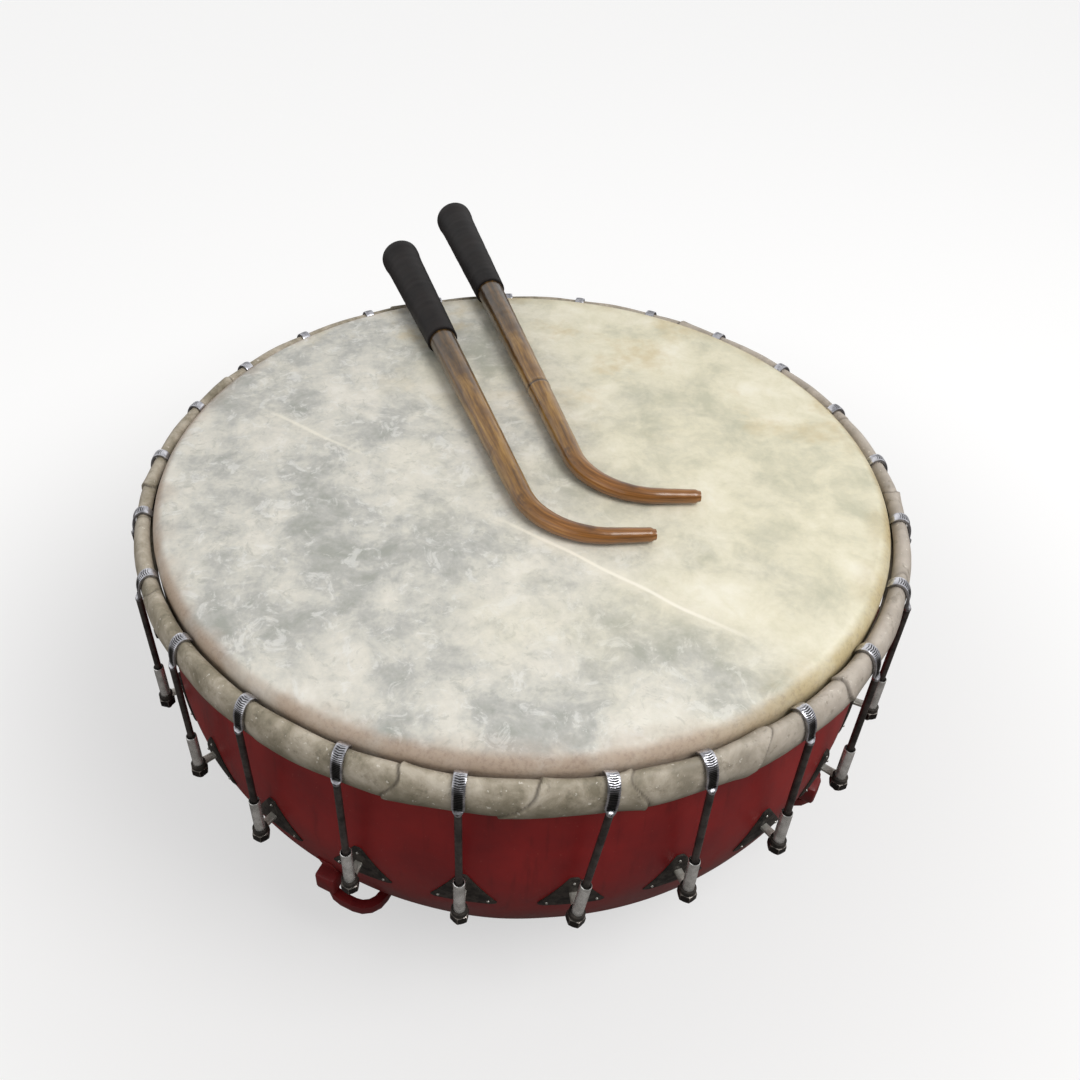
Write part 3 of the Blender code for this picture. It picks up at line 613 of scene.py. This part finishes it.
def make_bowl():
    """The wall's profile, from the pole of the inside, up over the rim and down to the base's
    pole, turned round Z and pushed in and out by a ripple of half a millimetre."""
    straight = BOWL_HEIGHT - RIM_BAND
    lower = np.sin(np.linspace(np.pi / 2, 0.0, 26))
    inner_z = BELLY_HEIGHT - (BELLY_HEIGHT - BOWL_WALL) * lower
    inner = np.stack([bowl_radius(inner_z, BOWL_WALL), inner_z], -1)
    upper_z = np.linspace(BELLY_HEIGHT, straight - 0.012, 12)[1:]
    upper = np.stack([bowl_radius(upper_z, BOWL_WALL), upper_z], -1)
    rim_bore = EDGE_RADIUS - RIM_WALL
    rim = np.array([[rim_bore, straight], [rim_bore, BOWL_HEIGHT - 0.001],
                    [rim_bore + 0.001, BOWL_HEIGHT]])
    edge = arc((EDGE_RADIUS - EDGE_ROUND, BOWL_HEIGHT - EDGE_ROUND), EDGE_ROUND, 88.0, 0.0, 10)
    side_z = np.linspace(straight, BELLY_HEIGHT, 16)
    side = np.stack([bowl_radius(side_z), side_z], -1)
    outer_z = BELLY_HEIGHT * (1.0 - np.sin(np.linspace(0.0, np.pi / 2, 40)[1:]))
    outer = np.stack([bowl_radius(outer_z), outer_z], -1)
    floor = np.stack([np.linspace(BASE_RADIUS, 0.02, 5)[1:], np.zeros(4)], -1)
    profile = np.vstack([[[0.03, BOWL_WALL]], inner, upper, rim, edge, side, outer, floor])
    points = revolved(profile, 400)
    turn = np.arctan2(points[..., 0], -points[..., 1])
    height = points[..., 2]
    free = smoothstep(0.02, 0.06, height) * smoothstep(0.315, 0.285, height)
    push = 1.0 + BOWL_RIPPLE / BELLY_RADIUS * ripple(turn, height * 12.0, 5, 14, 24) * free
    points[..., :2] *= push[..., None]
    return surface("kettle_shell", points)


shown("kettle_shell", make_bowl(), GELCOAT, "drum", ["kettle_bowl"])


# Hide


def roll_swell(turn, section):
    """How far the roll stands off its own oval, and how dark the painted shadow in its creases
    is. It swells between hooks and draws in under them. At each flap it rises at once to a lifted
    lip, and sinks back over a few degrees; the shadow is a narrow bell just before the lip."""
    degrees = np.degrees(turn)
    clear_of_hook = (1 - np.cos(HOOK_COUNT * (turn - FIRST_HOOK))) / 2
    clear_of_hook = clear_of_hook * (1 - np.exp(-((degrees - LEANING_CLAW) / LEANING_SPREAD) ** 2))
    swell = ROLL_BULGE * clear_of_hook - ROLL_PINCH
    crease = 0.0 * swell
    free = 0.15 + 0.85 * clear_of_hook
    for i, (azimuth, slant, side) in enumerate(FLAPS):
        bend = slant * np.sin(section) + 0.35 * np.sin(3.0 * section + i)
        past = side * ((degrees - azimuth - bend + 180.0) % 360.0 - 180.0)
        fade = 4.0 + i * 7 % 5
        on_top = smoothstep(-0.12, 0.12, past)
        lip = on_top * np.exp(-np.maximum(past, 0.0) / 0.9)
        flap = on_top * np.exp(-np.maximum(past, 0.0) / fade)
        groove = (1 - on_top) * np.exp(np.minimum(past, 0.0) / 0.5)
        swell = swell + free * (FLAP_STEP * flap + FLAP_LIFT * lip - GROOVE_DEPTH * groove)
        line = np.exp(-((past + 0.14) / 0.20) ** 2)
        crease = np.maximum(crease, line * (0.5 + 0.5 * clear_of_hook))
    wrinkles = WRINKLE_HEIGHT * ripple(turn, section, 11, 26, 150)
    dents = DENT_HEIGHT * ripple(turn, section, 17, 14, 46)
    return swell + (wrinkles + dents) * (0.2 + 0.8 * clear_of_hook), crease


def make_head():
    """The stretched head: a profile out over the top, over the rim's rounded edge and down to where
    the lap starts, and back beneath, turned round Z."""
    edge = (EDGE_RADIUS - EDGE_ROUND, BOWL_HEIGHT - EDGE_ROUND)
    inside = EDGE_RADIUS + HIDE_GAP
    under = EDGE_ROUND + HIDE_GAP
    start = ROLL_HEIGHT + ROLL_HALF_HEIGHT * math.sin(math.radians(LAP_START))
    root = ROLL_HEIGHT + ROLL_HALF_HEIGHT * math.sin(math.radians(LAP_ROOT))
    top = np.stack([np.linspace(0.03, edge[0], 9)[:-1], np.full(8, HEAD_TOP)], -1)
    over = arc(edge, under + HIDE_THICKNESS, 90.0, 0.0, 16)
    outside = inside + HIDE_THICKNESS
    skirt = np.array([[outside, start], [outside, root], [inside, root]])
    under_edge = arc(edge, under, 0.0, 90.0, 6)
    below = np.stack([np.linspace(edge[0], 0.03, 5)[1:], np.full(4, BOWL_HEIGHT + HIDE_GAP)], -1)
    return surface("hide_skin", revolved(np.vstack([top, over, skirt, under_edge, below]), 900))


def make_lap():
    """The hide's edge, lapped round the hoop: an oval round the hoop to the lap's free end and back
    along its outer face, which the swell at each azimuth and section angle pushes out, square to
    the oval."""
    roll = (ROLL_CIRCLE, ROLL_HEIGHT)
    end = 360.0 + LAP_END
    lining = oval(roll, ROLL_HALF_WIDTH - LAP_THICKNESS, ROLL_HALF_HEIGHT - LAP_THICKNESS,
                  LAP_START, end, 10)
    face = oval(roll, ROLL_HALF_WIDTH, ROLL_HALF_HEIGHT, end, LAP_START, 46)
    points = revolved(np.vstack([lining, face]), 1640)
    turn = np.arctan2(points[..., 0], -points[..., 1])
    degrees = np.concatenate([np.full(len(lining), LAP_START),
                              np.linspace(end, LAP_START, len(face))])
    section = np.radians(degrees)[:, None] + 0.0 * turn
    on_face = np.concatenate([np.zeros(len(lining)), np.ones(len(face))])[:, None]
    free = smoothstep(LAP_START, LAP_START + 45.0, degrees) * smoothstep(end, end - 12.0, degrees)
    swell, crease = roll_swell(turn, section)
    square = np.arctan2(ROLL_HALF_WIDTH * np.sin(section), ROLL_HALF_HEIGHT * np.cos(section))
    swell = swell * on_face * free[:, None]
    points[..., 0] += swell * np.cos(square) * np.sin(turn)
    points[..., 1] -= swell * np.cos(square) * np.cos(turn)
    points[..., 2] += swell * np.sin(square)
    # The kept attribute carries the painted shadow of each crease.
    return surface("hide_lap", points, wrap_rows=True, wear_and_painted_light=crease * on_face)


# Each nut's joint gives a rod: its number, a point in the nut, the direction up the rod, and the
# point where it passes the lug.
rods = []
for joint in frame["joints"]:
    if joint["child"].startswith("nut_"):
        nut_place, up = np.array(joint["pos_m"]), -np.array(joint["axis"])
        foot = nut_place + up * (LUG_HEIGHT - nut_place[2]) / up[2]
        rods.append((joint["child"][-2:], nut_place, up, foot))
HOOK_COUNT = len(rods)
second = rods[1][1]
FIRST_HOOK = math.atan2(second[0], -second[1]) - 2 * math.pi / HOOK_COUNT

shown("hide_skin", make_head(), RAWHIDE, "drum", ["hide_head"])
shown("hide_lap", make_lap(), RAWHIDE, "drum", ["hide_head"])


# Hooks


def frame_on_rod(up, point):
    """A frame at a point of the rod: Z up the rod, X away from the drum's axis."""
    out = np.array([point[0], point[1], 0.0])
    out -= up * (out @ up)
    out /= np.linalg.norm(out)
    matrix = np.eye(4)
    matrix[:3, 0], matrix[:3, 1], matrix[:3, 2], matrix[:3, 3] = out, np.cross(up, out), up, point
    return matrix


def claw_path():
    """The middle line of a claw: from its tip over the oval that clears the roll, square to it by
    half the strap, then a drop that leans on to the rod. Gives the distances along it, the points,
    the direction that faces out from the roll, and how far each point lies down the drop."""
    fine = np.radians(np.linspace(CLAW_TIP, 0.0, 600))
    facing = np.arctan2(CLAW_HALF_WIDTH * np.sin(fine), CLAW_HALF_HEIGHT * np.cos(fine))
    x = CLAW_HALF_WIDTH * np.cos(fine) + CLAW_THICKNESS / 2 * np.cos(facing) - CLAW_REACH
    z = CLAW_HALF_HEIGHT * np.sin(fine) + CLAW_THICKNESS / 2 * np.sin(facing)
    walked = np.concatenate([[0.0], np.cumsum(np.hypot(np.diff(x), np.diff(z)))])
    drop = np.linspace(0.0, NECK_LENGTH, 24)[1:]
    distance = np.concatenate([np.linspace(0.0, walked[-1], 150), walked[-1] + drop])
    drop = np.maximum(distance - walked[-1], 0.0)
    lean = smoothstep(0.0, NECK_LENGTH * 0.9, drop)
    centre_x = np.interp(distance, walked, x) * (1 - lean)
    centre_z = np.interp(distance, walked, z) - drop
    return distance, centre_x, centre_z, np.interp(distance, walked, facing), drop


def claw_points():
    """A strap swept along the claw's path. Each section is the curve |x|^n + |y|^n = 1, scaled to
    the strap's thickness and width, with n falling from 8, a strap, to 2, a round neck. Its upper
    part is smooth, then teeth are a triangle wave of the distance along it, and its lower part is
    hollowed by a parabolic trough between two rims that closes at the neck. The grid's number is 1
    where it is bright and 0 where painted shade fills the trough and the grooves between teeth."""
    distance, centre_x, centre_z, facing, drop = claw_path()
    neck = smoothstep(0.001, NECK_LENGTH * 0.95, drop)
    tip = smoothstep(0.0, 0.006, distance)
    round_tip = np.sqrt(np.clip(distance / 0.0020, 0.02, 1.0))
    thickness = (CLAW_THICKNESS * (0.5 + 0.5 * tip)) * (1 - neck) + NECK_WIDTH * neck
    width = (CLAW_WIDTH * (0.86 + 0.14 * tip)) * (1 - neck) * round_tip + NECK_WIDTH * neck
    power = (8.0 - 6.0 * neck)[:, None]
    angle = np.radians(np.arange(36) * 10.0)[None, :]
    c, s = np.cos(angle), np.sin(angle)
    reach = (np.abs(c) ** power + np.abs(s) ** power) ** (-1.0 / power)
    x, y = c * reach, s * reach
    outer = smoothstep(0.3, 0.8, x)
    share = distance / distance[-1]
    toothed = (smoothstep(0.20, 0.30, share) * (1 - smoothstep(0.0, 0.002, drop)))[:, None]
    hollow = (smoothstep(0.42, 0.62, share) * (1 - smoothstep(0.0022, 0.0046, drop)))[:, None]
    slanted = distance[:, None] + 0.10 * CLAW_WIDTH * np.abs(y)
    jagged = np.abs((slanted / TOOTH_PITCH % 1.0) * 2 - 1)
    inside = 1 - smoothstep(0.66, 0.86, np.abs(y) + 0.10 * (jagged - 0.5))
    across = x * thickness[:, None] / 2 + outer * (
        TOOTH_DEPTH * (jagged - 0.5) * toothed * inside * (1 - 0.5 * hollow)
        - TROUGH_DEPTH * hollow * inside * np.clip(1 - (y / 0.86) ** 2, 0.0, 1.0))
    # Painted shade: the grooves between teeth and the trough are darkened, and less so towards the
    # neck.
    clear_of_painted_shade = 1 - 0.92 * toothed * inside * (1 - smoothstep(0.35, 0.75, jagged)) * (1 - hollow)
    clear_of_painted_shade = clear_of_painted_shade * (1 - hollow * inside * (1 - 0.30 * smoothstep(0.55, 0.9, jagged)))
    wear_and_painted_light = np.clip(clear_of_painted_shade - 0.35 * smoothstep(0.004, 0.006, drop)[:, None], 0.0, 1.0)
    out_x, out_z = np.cos(facing)[:, None], np.sin(facing)[:, None]
    points = np.stack([centre_x[:, None] + across * out_x, y * width[:, None] / 2,
                       centre_z[:, None] + across * out_z], -1)
    return points, wear_and_painted_light * outer + 0.55 * (1 - outer)


def rod_points(length):
    """A round rod down its own Z, whose last stretch has a thread: the radius falls and rises
    with the distance along the rod less the turn round it, as a triangle wave of the pitch."""
    shank = np.linspace(-NECK_LENGTH + 0.002, THREAD_LENGTH - length, 12)
    thread = -np.linspace(length - THREAD_LENGTH + 0.0004, length, 68)
    z = np.concatenate([shank, thread])[:, None]
    turn = np.radians(np.arange(16) * 22.5)[None, :]
    wave = np.abs(((z / THREAD_PITCH - turn / (2 * np.pi)) % 1.0) * 2 - 1)
    cut = (z < THREAD_LENGTH - length) * THREAD_DEPTH * wave
    point = ROD_POINT * (1 - smoothstep(-length, -length + 0.0012, z))
    r = ROD_RADIUS - cut - point
    return np.stack([r * np.cos(turn), r * np.sin(turn), z + 0.0 * turn], -1)


def nut_points():
    """A hexagon's radius, the half width over the cosine of the angle from the nearest flat,
    is cut by a cone at each end, and the bore closes the section. Also gives the nut's painted
    highlights: its corners and cones are lighter."""
    z = np.array([0.5, 0.5, 0.47, 0.42, 0.36, 0.0, -0.36, -0.42, -0.47, -0.5, -0.5]) * NUT_HEIGHT
    bore = np.zeros(len(z), bool)
    bore[[0, -1]] = True
    turn = np.radians(np.arange(72) * 5.0)[None, :]
    flat = (turn + np.pi / 6) % (np.pi / 3) - np.pi / 6
    hexagon = NUT_FLATS / 2 / np.cos(flat)
    from_end = (NUT_HEIGHT / 2 - np.abs(z))[:, None]
    cone = NUT_FLATS / 2 * 0.96 + from_end / math.tan(math.radians(NUT_CHAMFER))
    r = np.where(bore[:, None], ROD_RADIUS + 0.0001, np.minimum(hexagon, cone))
    # Painted highlight: the corners and chamfer cones take the lighter colours.
    corner = smoothstep(25.0, 29.0, np.degrees(np.abs(flat)))
    rubbed_and_glinting = np.where(cone < hexagon, 1.0, corner) * (~bore)[:, None]
    return np.stack([r * np.cos(turn), r * np.sin(turn), z[:, None] + 0.0 * turn], -1), rubbed_and_glinting


def rod_length(nut_place, up, claw_place):
    """From the claw's height down to just below the nut, where the CAD rod ends."""
    return float((claw_place - nut_place) @ up) + NUT_HEIGHT / 2 + ROD_BELOW_NUT


claw_grid, claw_painted_shade = claw_points()
nut_grid, nut_glints = nut_points()
for number, nut_place, up, foot in rods:
    lean = math.hypot(up[0], up[1])
    claw_place = foot + up * ((ROLL_HEIGHT - LUG_HEIGHT) / up[2] + CLAW_WIDTH / 2 * lean)
    at_claw = frame_on_rod(up, claw_place)
    at_nut = frame_on_rod(up, nut_place)
    body, stands_for = f"hook_{number}", [f"tuning_hook_{number}"]
    spin = Matrix.Rotation(math.radians(NUT_TURN * int(number)), 4, "Z")
    claw = surface("claw", place(claw_grid, at_claw), wear_and_painted_light=claw_painted_shade)
    rod = surface("rod", place(rod_points(rod_length(nut_place, up, claw_place)), at_claw))
    nut = surface("nut", place(place(nut_grid, spin), at_nut), wrap_rows=True, wear_and_painted_light=nut_glints)
    shown(f"claw_{number}", claw, CLAW_STEEL, body, stands_for)
    shown(f"rod_{number}", rod, ROD_STEEL, body, stands_for)
    shown(f"nut_piece_{number}", nut, NUT_STEEL, f"nut_{number}", [f"tuning_nut_{number}"],
          crease=28.0)


# Lugs


def plate_points(azimuth):
    """A triangular sheet laid on the bowl: its half width falls from its foot to its apex, with its
    corners a little rounded. Each row is a loop, over its outer face and back inside the wall."""
    share = [[0.0, 0.006, 0.02, 0.05], np.linspace(0.09, 0.93, 10), [0.97, 0.99, 1.0]]
    share = np.concatenate(share)
    height = PLATE_BOTTOM + (PLATE_TOP - PLATE_BOTTOM) * share
    half = PLATE_HALF * (1 - share) + PLATE_CORNER * share
    low = np.sqrt(1 - (1 - np.clip(share / 0.05, 0, 1)) ** 2)
    high = np.sqrt(1 - (1 - np.clip((1 - share) / 0.03, 0, 1)) ** 2)
    half = half * (0.93 + 0.07 * low) * (0.55 + 0.45 * high)
    side = np.concatenate([np.linspace(-1, 1, 15), np.linspace(1, -1, 9)])[None, :]
    outer = np.concatenate([np.ones(15), np.zeros(9)])[None, :]
    brow = np.minimum(1.0, (1 - np.abs(side)) * 12.0)
    stand = np.where(outer > 0, PLATE_PROUD * (0.55 + 0.45 * brow), -PLATE_SINK)
    r = bowl_radius(height)[:, None] + stand
    turn = azimuth + side * half[:, None] / BELLY_RADIUS
    return np.stack([r * np.sin(turn), -r * np.cos(turn), height[:, None] + 0.0 * side], -1)


def ring_points(radius, bore, low, high, chamfer, dish=0.0):
    """A tube about Z, its ends chamfered; the top can be dished down towards the bore."""
    profile = [[bore, low], [radius - chamfer, low], [radius, low + chamfer],
               [radius, high - chamfer], [radius - chamfer, high],
               [(radius + bore) / 2, high - dish * 0.35], [bore, high - dish]]
    return revolved(np.array(profile), 28)


def bar_points(length):
    """A flat bar along X: sections |y|^6 + |z|^6 = 1 scaled to its width and thickness."""
    angle = np.radians(np.arange(20) * 18.0)[None, :]
    reach = (np.abs(np.cos(angle)) ** 6 + np.abs(np.sin(angle)) ** 6) ** (-1 / 6)
    x = np.linspace(0.0, length, 8)[:, None]
    waist = 1.0 - 0.10 * np.sin(np.pi * x / length)
    return np.stack([x + 0.0 * angle, np.cos(angle) * reach * waist * BAR_WIDTH / 2,
                     np.sin(angle) * reach * BAR_THICKNESS / 2 + 0.0 * x], -1)


def rivet_points():
    """A domed head along X: a quarter of an ellipse from its crown to its rim, on a short skirt."""
    share = np.linspace(0.15, 1.0, 5) * np.pi / 2
    profile = np.stack([RIVET_RADIUS * np.sin(share), RIVET_HEIGHT * np.cos(share)], -1)
    profile = np.vstack([profile, [[RIVET_RADIUS, -RIVET_HEIGHT]]])
    return revolved(profile, 14)[..., [2, 0, 1]]


def station_frame(azimuth, radius, height):
    """A frame on the bowl at an azimuth: X away from the drum's axis and Z up."""
    outwards = Matrix.Translation((radius, 0.0, height))
    return Matrix.Rotation(azimuth - math.pi / 2, 4, "Z") @ outwards


plates, bars, eyes, tubes, rivets = [], [], [], [], []
rivet_grid = rivet_points()
for _, _, up, foot in rods:
    azimuth = math.atan2(foot[0], -foot[1])
    reach = math.hypot(foot[0], foot[1])
    at_lug = frame_on_rod(up, foot)
    plates.append(surface("plate", plate_points(azimuth)))
    start = BELLY_RADIUS - BOWL_WALL / 2
    bar_frame = station_frame(azimuth, start, LUG_HEIGHT - BAR_THICKNESS / 2)
    bars.append(surface("bar", place(bar_points(reach - start - TUBE_RADIUS), bar_frame)))
    low = -BAR_THICKNESS - EYE_PROUD
    eye = ring_points(EYE_RADIUS, TUBE_RADIUS - EYE_OVERLAP, low, EYE_PROUD, EYE_CHAMFER)
    tube = ring_points(TUBE_RADIUS, TUBE_BORE, low + EYE_OVERLAP, TUBE_LENGTH, TUBE_CHAMFER,
                       TUBE_DISH)
    eyes.append(surface("eye", place(eye, at_lug), wrap_rows=True))
    tubes.append(surface("tube", place(tube, at_lug), wrap_rows=True))
    for side, height in RIVET_PLACES:
        on_plate = station_frame(azimuth + side / BELLY_RADIUS,
                                 float(bowl_radius(np.array(height))) + PLATE_PROUD, height)
        rivets.append(surface("rivet", place(rivet_grid, on_plate)))

for name, meshes, material in (("lug_plates", plates, PLATE_STEEL), ("lug_bars", bars, BAR_STEEL),
                               ("lug_eyes", eyes, PLATE_STEEL), ("lug_tubes", tubes, ZINC),
                               ("lug_rivets", rivets, RIVET_METAL)):
    shown(name, gathered(name, meshes), material, "drum", ["kettle_bowl"])

hoop = frame["nodes"]["flesh_hoop"]
hoop.data.materials.clear()
hoop.data.materials.append(HOOP_IRON)


# Strap loops


def softened(node_name, name):
    """The CAD loop's own shape with its moulded edges rounded."""
    mesh = frame["nodes"][node_name].data.copy()
    mesh.name = name
    mesh.materials.clear()
    piece = shown(name, mesh, GELCOAT, "drum", [node_name])
    weld = piece.modifiers.new("Weld", "WELD")
    weld.merge_threshold = 0.00001
    bevel = piece.modifiers.new("Moulded edges", "BEVEL")
    bevel.width = 0.0014
    bevel.segments = 3
    bevel.limit_method = "ANGLE"
    bevel.angle_limit = math.radians(40.0)
    return piece


softened("strap_loop_1", "strap_loop_left")
softened("strap_loop_2", "strap_loop_right")


# Beaters


def shaft_radius(distance, straight):
    """The cane's radius on its straight, at this distance from the butt."""
    return STICK_BUTT_RADIUS + (STICK_BEND_START_RADIUS - STICK_BUTT_RADIUS) * distance / straight


def grip_radius(distance, straight):
    """The grip's wall thins evenly from its butt to its front."""
    wall = GRIP_BUTT_WALL + (GRIP_FRONT_WALL - GRIP_BUTT_WALL) * distance / GRIP_LENGTH
    return shaft_radius(distance, straight) + wall


def stick_line(straight, distance):
    """Points, directions and radii at these distances along a beater in its own frame: straight
    along X from the butt, a bend of constant radius towards +Y, then straight to the tip."""
    bend = STICK_BEND_RADIUS * math.radians(STICK_BEND_ANGLE)
    turn = np.clip((distance - straight) / STICK_BEND_RADIUS, 0.0, math.radians(STICK_BEND_ANGLE))
    on_straight = np.minimum(distance, straight)
    tail = np.maximum(distance - straight - bend, 0.0)
    x = on_straight + STICK_BEND_RADIUS * np.sin(turn) + tail * np.cos(turn)
    y = STICK_BEND_RADIUS * (1 - np.cos(turn)) + tail * np.sin(turn)
    share = np.maximum(distance - straight, 0.0) / (bend + STICK_TIP_LENGTH)
    thinner = (STICK_TIP_RADIUS - STICK_BEND_START_RADIUS) * share
    radius = shaft_radius(on_straight, straight) + thinner
    return np.stack([x, y, 0.0 * x], -1), turn, radius


def stick_length(straight):
    return straight + STICK_BEND_RADIUS * math.radians(STICK_BEND_ANGLE) + STICK_TIP_LENGTH


def stick_matrix(butt_x, past_edge, heading, straight):
    """Lays a beater on the head: its grip rests where it crosses the edge of the flat, and it
    tips down until the first point beyond meets the hide."""
    heading = math.radians(heading)
    start = Vector((butt_x, EDGE_RADIUS + past_edge))
    flat_radius = EDGE_RADIUS - EDGE_ROUND
    along = -start.dot(Vector((math.cos(heading), math.sin(heading))))
    beside = math.sqrt(start.length_squared - along * along)
    crossing = along - math.sqrt(flat_radius * flat_radius - beside * beside)
    support = grip_radius(crossing, straight)
    beyond = np.linspace(GRIP_LENGTH + 0.02, stick_length(straight), 60)
    line, _, radius = stick_line(straight, beyond)
    slope = float(((support - radius) / (line[:, 0] - crossing)).min())
    tilt = math.asin(min(slope, (grip_radius(0.0, straight) - support) / crossing))
    height = HEAD_TOP + HIDE_GAP + support / math.cos(tilt) + crossing * math.tan(tilt)
    return (Matrix.Translation((start.x, start.y, height)) @ Matrix.Rotation(heading, 4, "Z")
            @ Matrix.Rotation(tilt, 4, "Y"))


def cane_points(number, straight, nodes):
    """Round sections square to the stick's line. The radius tapers to the tip, dips at each node
    of the cane between two swellings, and rounds off over its end. The wear is a dark line in
    each dip."""
    length = stick_length(straight)
    distance = np.linspace(0.0, length, 300)
    line, turn, radius = stick_line(straight, distance)
    ring_mark = 0.0 * distance
    for node_at in nodes:
        beside = distance - node_at
        radius = radius + NODE_SWELL * np.exp(-(beside / 0.0042) ** 2)
        radius = radius - NODE_DIP * np.exp(-(beside / 0.0011) ** 2)
        ring_mark = np.maximum(ring_mark, np.exp(-(beside / 0.0015) ** 2))
    radius = radius + HAND_WORK * ripple(distance * 40.0, 0.0, 21 + number, 8, 20)
    radius = radius * np.sqrt(np.clip((length - distance) / STICK_END_ROUND, 0.60, 1.0))
    angle = np.radians(np.arange(36) * 10.0)[None, :]
    side = np.stack([-np.sin(turn), np.cos(turn), 0.0 * turn], -1)[:, None, :]
    up = np.array([0.0, 0.0, 1.0])
    ring = np.cos(angle)[..., None] * side + np.sin(angle)[..., None] * up
    points = line[:, None, :] + radius[:, None, None] * ring
    return points, ring_mark[:, None] + 0.0 * angle


def grip_points(number, straight):
    """A tapered sleeve along X, a little uneven: its profile runs from a small cap over a flat butt
    with rounded corners, down the taper, over the front lip and in to the cane."""
    x = np.linspace(GRIP_CORNER, GRIP_LENGTH - GRIP_LIP, 90)
    radius = grip_radius(x, straight) + GRIP_SWELL * np.exp(-((x - 0.010) / 0.012) ** 2)
    radius = radius + HAND_WORK * ripple(x * 30.0, 0.0, 31 + number, 8, 24)
    corner = np.radians(np.array([8.0, 26.0, 45.0, 64.0, 82.0]))
    butt_x = GRIP_CORNER * (1 - np.sin(corner))
    butt_r = radius[0] - GRIP_CORNER * (1 - np.cos(corner))
    bore = shaft_radius(GRIP_LENGTH, straight) + 0.0001
    front_x = [GRIP_LENGTH - 0.0003, GRIP_LENGTH, GRIP_LENGTH]
    front_r = [radius[-1] - 0.0003, radius[-1] - GRIP_LIP, bore]
    xs = np.concatenate([[0.0, 0.0], butt_x[::-1], x, front_x])[:, None] - GRIP_PAST_BUTT
    rs = np.concatenate([[0.002, butt_r[-1] * 0.7], butt_r[::-1], radius, front_r])[:, None]
    angle = np.radians(np.arange(40) * 9.0)[None, :]
    return np.stack([xs + 0.0 * angle, rs * np.cos(angle), rs * np.sin(angle)], -1)


for number, (butt_x, past_edge, heading, straight, nodes) in enumerate(STICKS, start=1):
    laid = stick_matrix(butt_x, past_edge, heading, straight)
    stick_body = f"stick_{number}"
    cane_grid, cane_wear = cane_points(number, straight, nodes)
    cane_mesh = surface("cane", place(cane_grid, laid), wear_and_painted_light=cane_wear)
    grip_mesh = surface("grip", place(grip_points(number, straight), laid))
    shown(f"beater_cane_{number}", cane_mesh, CANE, stick_body, [f"stick_{number}_cane"])
    shown(f"beater_grip_{number}", grip_mesh, RUBBER, stick_body, [f"stick_{number}_grip"])


# Studio


def area_light(name, energy, size, location, target):
    lamp = bpy.data.lights.new(name, "AREA")
    lamp.energy = energy
    lamp.shape = "DISK"
    lamp.size = size
    holder = bpy.data.objects.new(name, lamp)
    bpy.context.scene.collection.objects.link(holder)
    holder.location = location
    holder.rotation_euler = (Vector(target) - Vector(location)).to_track_quat("-Z", "Y").to_euler()


def camera_rays(tree):
    """1 for what the camera sees, directly or through something, and 0 for other light."""
    rays = node("ShaderNodeLightPath", tree=tree).outputs
    return maths("MAXIMUM", rays["Is Camera Ray"], rays["Is Transmission Ray"])


def make_sky():
    """White to the camera. In reflections it is bright at the sides and back and dark at the front,
    like a room behind the photographer, and as other light it is even."""
    world = bpy.data.worlds.new("studio")
    bpy.context.scene.world = world
    world.use_nodes = True
    tree = world.node_tree
    sky = tree.nodes["Background"]
    sky.inputs["Color"].default_value = (1.0, 1.0, 1.0, 1.0)
    _, forward, upward = axes(texture_place(tree, "Generated"))
    around = band(forward, -0.75, -0.05, 0.10, 1.0)
    room = product(around, band(upward, 0.45, 0.95, 1.0, 0.6))
    glossy = node("ShaderNodeLightPath", tree=tree).outputs["Is Glossy Ray"]
    even = product(maths("SUBTRACT", 1.0, glossy), SKY_STRENGTH)
    light = added(product(glossy, room), even)
    seen = camera_rays(tree)
    unseen = product(maths("SUBTRACT", 1.0, seen), light)
    feed(sky, "Strength", added(seen, unseen))


def make_floor():
    """A pale floor that keeps the drum's shadow. To the camera it glows a little, and more further
    out, so that it is near white there; as light and in reflections it is grey."""
    material, tree, shader = new_material("matt_white_floor", 0.8, Specular_IOR_Level=0.2,
                                          Emission_Color=(1.0, 1.0, 1.0, 1.0))
    grey = blend_colours(camera_rays(tree), "#75716E", "#A09F9E")
    feed(shader, "Base Color", grey)
    seen = node("ShaderNodeLightPath", tree=tree).outputs["Is Camera Ray"]
    spots = texture_place(tree)
    x, y, _ = axes(spots)
    glow = band(from_axis(x, y), 0.38, 1.00, 0.53, 0.69)
    feed(shader, "Emission Strength", product(seen, glow))
    bump(shader, spot(0.004, spots), 0.0001, 0.02)
    mesh = bpy.data.meshes.new("floor")
    corners = ((-1, -1), (1, -1), (1, 1), (-1, 1))
    mesh.from_pydata([(x * FLOOR_HALF, y * FLOOR_HALF, 0) for x, y in corners], [], [(0, 1, 2, 3)])
    mesh.materials.append(material)
    floor = bpy.data.objects.new("floor", mesh)
    floor.location.z = -FLOOR_DROP
    bpy.context.scene.collection.objects.link(floor)


def make_camera():
    """The photograph's own camera: the principal point lies off the frame's middle by a shift."""
    data = bpy.data.cameras.new("photo_camera")
    data.sensor_width = 36.0
    data.lens = data.sensor_width * FOCAL_PIXELS / PHOTO_SIDE
    middle = PHOTO_SIDE / 2
    data.shift_x = (middle - CENTRE_PIXELS[0]) / PHOTO_SIDE
    data.shift_y = (CENTRE_PIXELS[1] - middle) / PHOTO_SIDE
    data.clip_start, data.clip_end = 0.02, 60.0
    camera = bpy.data.objects.new("photo_camera", data)
    camera.matrix_world = (Matrix.Translation(CAMERA_PLACE)
                           @ Matrix.Rotation(math.radians(90.0 - CAMERA_PITCH), 4, "X")
                           @ Matrix.Rotation(math.radians(CAMERA_ROLL), 4, "Z"))
    bpy.context.scene.collection.objects.link(camera)
    bpy.context.scene.camera = camera


make_sky()
make_floor()
for lamp in LAMPS:
    area_light(*lamp)
bpy.context.scene.view_settings.view_transform = "Standard"
make_camera()
